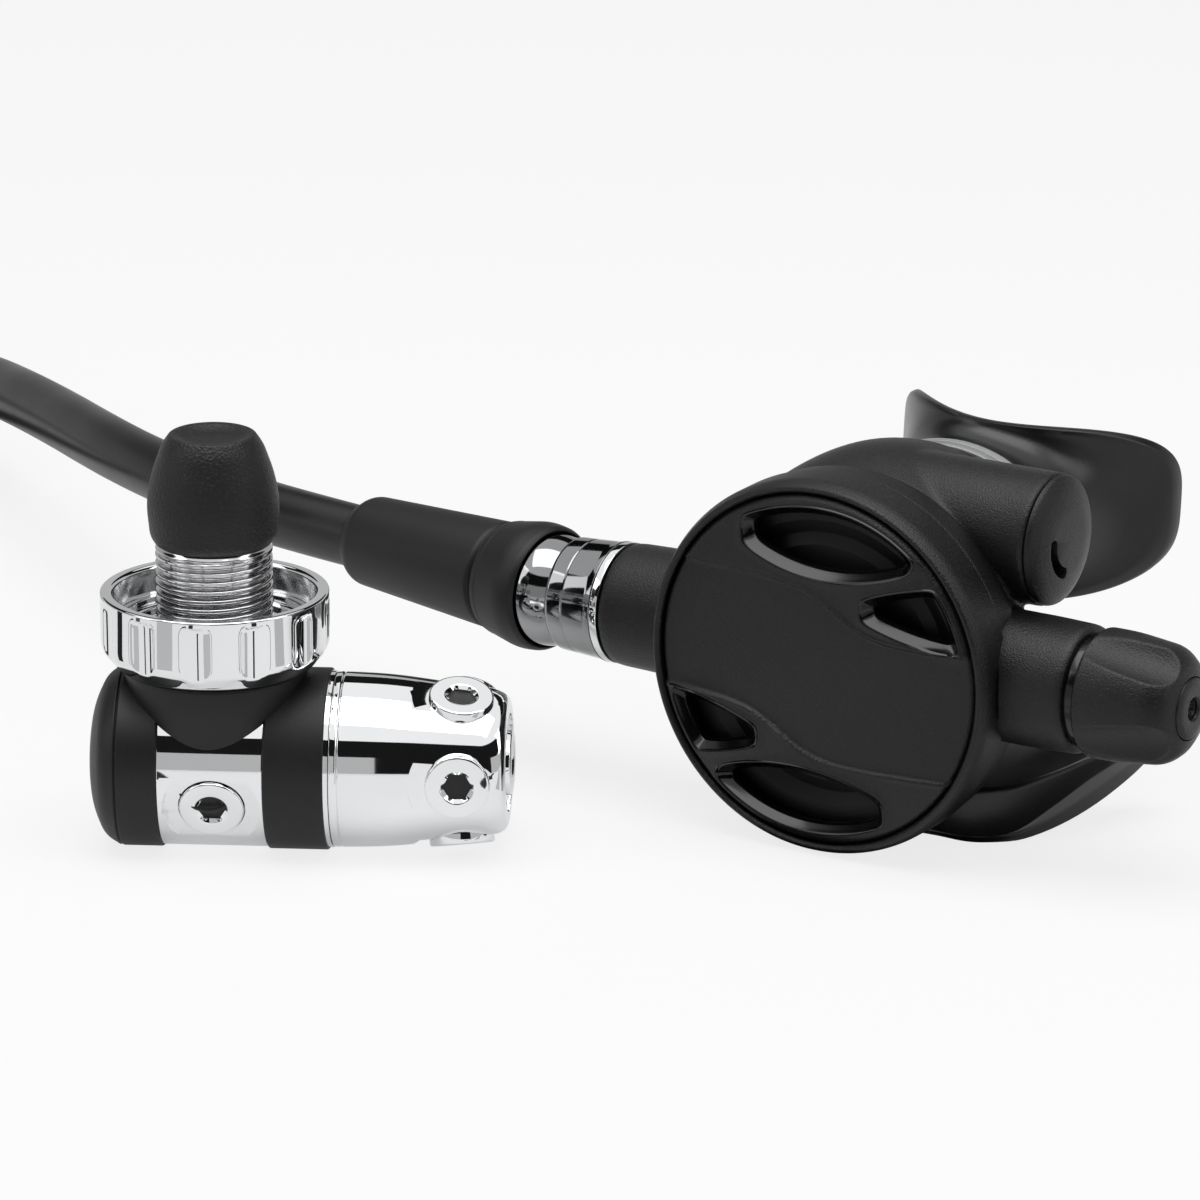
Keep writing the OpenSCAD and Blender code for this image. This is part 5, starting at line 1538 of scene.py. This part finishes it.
        rim = rounded([(front, seat_r, 0), (front, self.face_r + 0.2, 0),
                       (depth, self.face_r + 0.2, 0), (depth, r - 0.3, 0.3), (depth + 0.9, r, 0.5),
                       (back - 1, r - 0.1, 1.5), (back + 1.5, r - 2.6, 1.5),
                       (back + 1.5, seat_r, 0)], True)
        join(piece, [mesh_piece("rim", [turned(rim, Axis.Y, 256)], SECOND_STAGE, wrap_rows=True)])
        self.kit.dress(piece, "case")
        neck = self.neck_ovals([(44.6, -2.6), (57.0, -2.6), (57.0, -4.8), (44.6, -4.8)], 160)
        piece = mesh_piece("case_neck", [neck], SECOND_STAGE, wrap_rows=True)
        self.kit.dress(piece, "case", stands_for=False)

    def knob(self) -> None:
        """The knob with four scooped grips, its end cap and the glossy ring behind it.

        A scoop is the near side of a cylinder whose axis climbs away from the knob's towards
        its back, so the scoop runs out half way along.
        """
        x0, end, r = self.knob_x, self.knob_x + self.knob_len, self.knob_r
        body = rounded([(x0, 4, 0), (x0, r - 0.5, 0.4), (x0 + 0.6, r, 0.4), (x0 + 6, r, 3),
                        (end - 4.0, r - 1.1, 3.0), (end - 0.9, r - 3.7, 2.2), (end, r - 6.4, 0.8),
                        (end, 6.35, 0.1), (end - 1.0, 6.3, 0), (end - 1.0, 4, 0)], steps=14)
        rows = dense(body, 0.45)
        angle = np.linspace(0, 2 * np.pi, 288, endpoint=False)
        centre = self.scoop_r + r - self.scoop_depth + self.scoop_climb * (end - rows[:, :1])
        scoop = scoops(angle, 4, self.knob_turn, centre, self.scoop_r)
        grid = limited(rows, scoop, angle, 6.6, 0.12, Axis.X)
        self.kit.dress(mesh_piece("effort_knob", [grid], BARREL, wrap_rows=True, sharp=50), "knob")
        profile = rounded([(end - 1.2, 0, 0), (end - 1.2, 6.15, 0), (end + 0.25, 6.15, 0.35),
                           (end + 0.65, 4.8, 1.2), (end + 0.7, 2.5, 0.4), (end + 0.25, 2.1, 0.15),
                           (end - 0.3, 2.1, 0.1), (end - 0.3, 1.6, 0.1), (end + 0.3, 1.3, 0.2),
                           (end - 0.8, 0.9, 0.1), (end - 0.8, 0, 0)])
        self.kit.lathe("knob_button", "knob_cap", profile, Axis.X, BARREL)
        near, far = self.housing_right, x0 - 0.1
        profile = rounded([(near, 4.1, 0), (near, 11.2, 0.1), (far, 11.2, 0.1), (far, 4.1, 0)],
                          True)
        self.kit.lathe("knob_ring", "knob_gap_ring", profile, Axis.X, BARREL, wrap_rows=True)

    def flow_cap(self) -> None:
        """The domed cap of the flow housing with its curved coin slot."""
        end, r = self.flow_end, self.flow_r
        profile = rounded([(end - 3.5, 0, 0), (end - 3.5, 10.3, 0), (end, 10.3, 0),
                           (end, r - 0.2, 0.15), (end + 0.9, r - 0.45, 0.6),
                           (end + 2.1, r - 2.4, 1.6), (end + 3.0, r - 5.8, 2.5),
                           (end + 3.3, 0, 0)], steps=10)
        piece = mesh_piece("flow_lid", [turned(profile, Axis.X, 160)], FLOW)
        arc_r, half, depth = 6.1, 1.15, 3.2
        a = np.radians(np.linspace(162, 262, 32))
        path = np.stack([np.full(32, end + 3.2), arc_r * np.cos(a), arc_r * np.sin(a)], axis=-1)
        carve(piece, [mesh_piece("arc", [ribbon(path, half, depth)], FLOW)])
        soften(piece, 0.15)
        self.kit.dress(piece, "flow_cap")

    def deflector(self) -> None:
        """The exhaust deflector: two wings that sweep back and up from a flat middle.

        Each station across the piece is a six-cornered section whose lower front face is hollow;
        its corners follow smooth curves through the table's rows.
        """
        share = np.array([row[0] for row in self.wing_rows])
        table = np.array([row[1] for row in self.wing_rows], float)
        s = np.concatenate([np.linspace(0, 0.9, 40), np.linspace(0.9, 1, 14)[1:]])
        cuts, full_size, sunk, near_edge = (0.5, 0.8, 0.35, 1.2, 2.0, 2.2), 8, 0.16, 0.45
        rows = []
        for low, ridge, front, top, back in hermite(share, table, s):
            middle = (low + ridge) / 2
            hollow = middle + sunk * (back - low) * (np.abs(ridge - low).sum() > 2)
            hollow = hollow * (1 - near_edge) + middle * near_edge
            size = min(1.0, float(np.linalg.norm(back - low)) / full_size)
            section = (low, hollow, ridge, front, top, back)
            rows.append(rounded([(y, z, c * size) for (y, z), c in zip(section, cuts)], True, 5))
        line = np.stack(rows)
        x = np.repeat((s * self.wing_half)[:, None], line.shape[1], axis=1)
        right = np.stack([x, line[..., 0], np.maximum(line[..., 1], self.wing_floor)], axis=-1)
        grid = capped(np.concatenate([right[:0:-1] * (-1, 1, 1), right]))
        self.kit.dress(mesh_piece("exhaust_wings", [grid], SECOND_STAGE, sharp=50),
                       "exhaust_deflector")

    def shield(self, angle: Array) -> Array:
        """The mouthpiece's neck and lip shield, with the bore through them.

        Each profile station lies a share w of the way from the neck's oval to the shield's
        rounded rectangle. The shield bends back by x^2 over its bow, sits a little lower than
        the neck and is rolled; its wall keeps its thickness where it leans back.

        Args:
            angle: the angles round it, in radians.

        Returns:
            A closed ring of points, stations by angle.
        """
        sx, sz = np.sin(angle), np.cos(angle)
        oval = np.stack([self.neck_a * sx, self.neck_b * sz], axis=-1)
        power, neck_size, bend_from, bend_over = 3.5, 18, 57.0, 5
        reach = np.abs(sx / self.shield_a) ** power + np.abs(sz / self.shield_b) ** power
        plate = (reach ** (-1 / power))[:, None] * np.stack([sx, sz], axis=-1)
        roll = math.sin(math.radians(self.shield_roll))
        stations = [(0.0, 46.4, -2.55), (0.0, 46.4, -0.6), (0.0, 46.7, 0.0), (0.0, 50.3, 0.0),
                    (0.0, 50.5, -0.8), (0.0, 55.3, -0.8), (0.0, 55.5, 0.0), (0.0, 57.0, -0.3),
                    (0.02, 58.4, -0.7), (0.1, 59.9, -0.4), (0.25, 61.2, 0.0), (0.5, 62.1, 0.0),
                    (0.8, 62.6, 0.0), (0.96, 62.7, 0.0), (0.995, 63.1, 0.0), (1.0, 63.8, 0.0),
                    (0.99, 64.5, 0.0), (0.95, 64.8, 0.0), (0.8, 64.8, 0.0), (0.4, 64.8, 0.0)]
        rows = []
        for w, y, grow in stations:
            flat = oval * (1 + grow / neck_size) * (1 - w) + plate * w
            bend = step(np.array((y - bend_from) / bend_over))
            bend = flat[:, 0] ** 2 / self.shield_bow * bend
            lean = np.hypot(1, flat[:, 0] / (self.shield_bow / 2))
            deep = y + bend + (y - self.shield_y) * (lean - 1) * w
            rows.append(np.stack([flat[:, 0] + flat[:, 1] * roll * w, deep,
                                  flat[:, 1] - flat[:, 0] * roll * w - self.shield_drop * w],
                                 axis=-1))
        bore = ((67.5, 1.11), (72.0, 1.11), (72.6, 1.0), (72.0, 1.0), (66.0, 1.0), (50.0, 1.0),
                (46.4, 1.0))
        for y, size in bore:
            rows.append(np.stack([self.neck_bore[0] * size * sx, np.full(len(angle), y),
                                  self.neck_bore[1] * size * sz], axis=-1))
        return np.stack(rows) + (0, 0, self.mouth_h)

    def lug(self, side: int, angle: Array) -> Array:
        """A bite lug: a flat bar whose root follows the shield's bow.

        Args:
            side: -1 or 1, the side of the mouth.
            angle: the angles round it, in radians.

        Returns:
            A closed grid of points, root to tip.
        """
        slant, play = 0.35, 0.2
        share = np.linspace(0, 1, 16)[:, None]
        across = side * self.lug_x + self.lug_half * rooted(np.sin(angle))
        root = self.shield_y + play + across ** 2 / self.shield_bow
        tip = self.lug_end - slant * (side * across - self.lug_x)
        height = self.mouth_h + self.lug_thick * rooted(np.cos(angle))
        return capped(np.stack([across * np.ones_like(share), root + (tip - root) * share,
                                height * np.ones_like(share)], axis=-1))

    def mouthpiece(self) -> None:
        """The mouthpiece with its two bite lugs, each with a tab across its end, and its strap."""
        angle = np.linspace(0, 2 * np.pi, 240, endpoint=False)
        piece = mesh_piece("mouth_shield", [self.shield(angle)], SECOND_STAGE, wrap_rows=True,
                           sharp=60)
        grids = []
        for side in (-1, 1):
            end = (side * self.lug_x, self.lug_end, self.mouth_h)
            grids += [self.lug(side, angle), block(end, self.tab_half, -side * self.tab_yaw)]
        join(piece, [mesh_piece("lug", [grid], SECOND_STAGE) for grid in grids])
        self.kit.dress(piece, "mouthpiece")
        band = self.neck_ovals([(50.6, -0.75), (50.6, 0.25), (50.9, 0.5), (52.7, 0.5),
                                (52.9, 0.35), (53.1, 0.5), (54.9, 0.5), (55.2, 0.25),
                                (55.2, -0.75)], len(angle))
        piece = mesh_piece("neck_strap", [band], SECOND_STAGE, wrap_rows=True)
        self.kit.dress(piece, "mouthpiece_strap")

    def build(self) -> None:
        """Builds and dresses every piece of the second stage."""
        self.cover()
        self.ring()
        self.case()
        self.knob()
        self.flow_cap()
        self.deflector()
        self.mouthpiece()


# --- Studio ---------------------------------------------------------------------------------


@dataclass
class Studio:
    """Camera, floor, soft lamps and dark cards.

    Attributes:
        azimuth: the camera's turn from -Y towards +X, in degrees.
        elevation: its height over the horizon, in degrees.
        distance: its distance from the aim, in metres.
        focal: lens over sensor width.
        sensor: the sensor's width, in millimetres.
        aim: the point that the camera faces, in metres.
        fill: the strength of the even light that only diffuse rays see.
        floor_half: half of the floor's width, in metres.
        floor_drop: how far the floor lies under the ground, in metres.
        cards: name, (radius, height) of both edges, brightness and both ends of each card round
            the set, in metres and degrees.
        floor_cards: turn and width, in degrees, and brightness of each card on the floor.
        lamps: name, place, size and power of each lamp, in metres and watts.
    """

    azimuth: float = 32.0
    elevation: float = 17.5
    distance: float = 1.5
    focal: float = 6.4
    sensor: float = 36.0
    aim: tuple[float, float, float] = (0.0638, 0.0399, 0.0494)
    fill: float = 0.24
    floor_half: float = 4.0
    floor_drop: float = 0.0002
    cards: tuple = (("dark_band", (2.6, 1.0), (2.6, 2.34), 0.01, (0.0, 360.0)),
                    ("grey_band", (2.7, -0.07), (2.7, 1.036), 0.5, (0.0, 360.0)),
                    ("dark_card", (2.4, -0.06), (2.4, 1.88), 0.01, (30.0, 66.0)))
    floor_cards: tuple = ((-70.0, 8.0, 0.02), (-44.0, 5.0, 0.1), (-14.0, 16.0, 0.55),
                          (12.0, 4.0, 0.03), (72.0, 5.0, 0.03), (98.0, 10.0, 0.5),
                          (118.0, 6.0, 0.02))
    lamps: tuple = (("top_light", (0.1, -0.1, 1.3), (1.4, 1.0), 12.0),
                    ("left_light", (-0.9, -0.9, 0.8), (0.5, 0.8), 2.5),
                    ("right_light", (1.1, 0.3, 0.7), (0.4, 0.7), 2.0))

    def camera(self) -> None:
        """Puts the camera at its angle and distance."""
        a, e = math.radians(self.azimuth), math.radians(self.elevation)
        back = Vector((math.sin(a) * math.cos(e), -math.cos(a) * math.cos(e), math.sin(e)))
        data = bpy.data.cameras.new("camera")
        data.sensor_width = self.sensor
        data.lens = self.focal * data.sensor_width
        data.clip_end = 50.0
        camera = bpy.data.objects.new("camera", data)
        camera.location = Vector(self.aim) + back * self.distance
        camera.rotation_euler = (-back).to_track_quat("-Z", "Y").to_euler()
        bpy.context.scene.collection.objects.link(camera)
        bpy.context.scene.camera = camera

    def lamp(self, name: str, place: Sequence[float], size: tuple[float, float],
             power: float) -> None:
        """Adds a soft rectangular lamp that faces the object.

        Args:
            name: the lamp's name.
            place: where it stands, in metres.
            size: its width and height, in metres.
            power: its power, in watts.
        """
        data = bpy.data.lights.new(name, "AREA")
        data.shape, data.size, data.size_y, data.energy = "RECTANGLE", *size, power
        lamp = bpy.data.objects.new(name, data)
        lamp.location = place
        lamp.rotation_euler = (Vector(self.aim) - Vector(place)).to_track_quat("-Z", "Y").to_euler()
        bpy.context.scene.collection.objects.link(lamp)

    def seen(self, nodes: Nodes, camera: float, glossy: float) -> bpy.types.NodeSocket:
        """A share by kind of ray.

        Args:
            nodes: the tree that it is worked out in.
            camera: the share for camera rays.
            glossy: the share for reflected and transmitted rays; all others get 0.

        Returns:
            The share's socket.
        """
        path = nodes.add("LightPath")
        first = nodes.add("Math", {0: path.outputs["Is Camera Ray"], 1: camera},
                          operation="MULTIPLY")
        other = nodes.add("Math", {0: path.outputs["Is Glossy Ray"],
                                   1: path.outputs["Is Transmission Ray"]}, operation="ADD")
        both = nodes.add("Math", {0: other.outputs[0], 1: glossy, 2: first.outputs[0]},
                         operation="MULTIPLY_ADD", use_clamp=True)
        return both.outputs[0]

    def sheet(self, name: str, points: Sequence[Sequence[float]],
              faces: Sequence[Sequence[int]]) -> tuple[bpy.types.Object, Nodes]:
        """Adds a flat mesh of the studio with an empty material.

        Args:
            name: its name and its material's.
            points: its vertices, in metres.
            faces: its faces, as vertex numbers.

        Returns:
            The object and its material's tree.
        """
        mesh = bpy.data.meshes.new(name)
        mesh.from_pydata(points, [], faces)
        sheet = bpy.data.objects.new(name, mesh)
        bpy.context.scene.collection.objects.link(sheet)
        material = bpy.data.materials.new(name)
        material.use_nodes = True
        mesh.materials.append(material)
        return sheet, Nodes(material.node_tree)

    def floor(self) -> None:
        """A pale floor that keeps the object's shadow."""
        half = self.floor_half
        corners = [(-half, -half, 0), (half, -half, 0), (half, half, 0), (-half, half, 0)]
        floor, nodes = self.sheet("floor", corners, [(0, 1, 2, 3)])
        floor.location.z = -self.floor_drop
        plain = nodes.add("BsdfDiffuse", {"Color": (0.93, 0.93, 0.93, 1)})
        glow = nodes.add("Emission", {"Color": (1, 1, 1, 1), "Strength": 1.0})
        mix = nodes.add("MixShader", {0: self.seen(nodes, 0.8, 0.35), 1: plain.outputs[0],
                                      2: glow.outputs[0]})
        nodes.add("OutputMaterial", {"Surface": mix.outputs[0]})

    def card(self, name: str, low: tuple[float, float], high: tuple[float, float], shade: float,
             around: tuple[float, float]) -> None:
        """A plain card that only reflections see.

        Args:
            name: the card's name.
            low: one edge's distance from the origin and its height, in metres.
            high: the same of the other edge.
            shade: how bright it is.
            around: its two ends as turns from -Y towards +X, in degrees.
        """
        columns = 65
        angle = np.radians(np.linspace(*around, columns))
        rows = np.stack([np.stack([radius * np.sin(angle), -radius * np.cos(angle),
                                   np.full(columns, height)], axis=-1)
                         for radius, height in (low, high)])
        faces = grid_faces(2, columns, False, False, 0)
        card, nodes = self.sheet(name, rows.reshape(-1, 3).tolist(), faces.tolist())
        card.visible_camera = card.visible_diffuse = card.visible_shadow = False
        card.visible_transmission = False
        plain = nodes.add("Emission", {"Color": (shade, shade, shade, 1), "Strength": 1.0})
        nodes.add("OutputMaterial", {"Surface": plain.outputs[0]})

    def world(self) -> None:
        """A white surround for the camera and for reflections, and an even fill light."""
        world = bpy.data.worlds.new("studio")
        bpy.context.scene.world = world
        world.use_nodes = True
        nodes = Nodes(world.node_tree)
        white = nodes.add("Background", {"Color": (1, 1, 1, 1), "Strength": 1.0})
        fill = nodes.add("Background", {"Color": (1, 1, 1, 1), "Strength": self.fill})
        mix = nodes.add("MixShader", {0: self.seen(nodes, 1.0, 1.0), 1: fill.outputs[0],
                                      2: white.outputs[0]})
        nodes.add("OutputWorld", {"Surface": mix.outputs[0]})

    def build(self) -> None:
        """Builds the studio."""
        near, far, height = 0.09, 0.7, 0.0005
        bpy.context.scene.view_settings.view_transform = "Standard"
        self.camera()
        self.world()
        self.floor()
        for card in self.cards:
            self.card(*card)
        for i, (turn, width, tone) in enumerate(self.floor_cards):
            self.card(f"floor_card_{i}", (near, height), (far, height), tone,
                      (turn - width / 2, turn + width / 2))
        for lamp in self.lamps:
            self.lamp(*lamp)


def main() -> None:
    """Builds the studio and the set, and reports each piece."""
    logging.basicConfig(level=logging.INFO, format="%(message)s")
    Studio().build()
    kit = Kit()
    Hose(kit).build()
    FirstStage(kit).build()
    SecondStage(kit).build()
    kit.finish_rest()


if __name__ == "__main__":
    main()
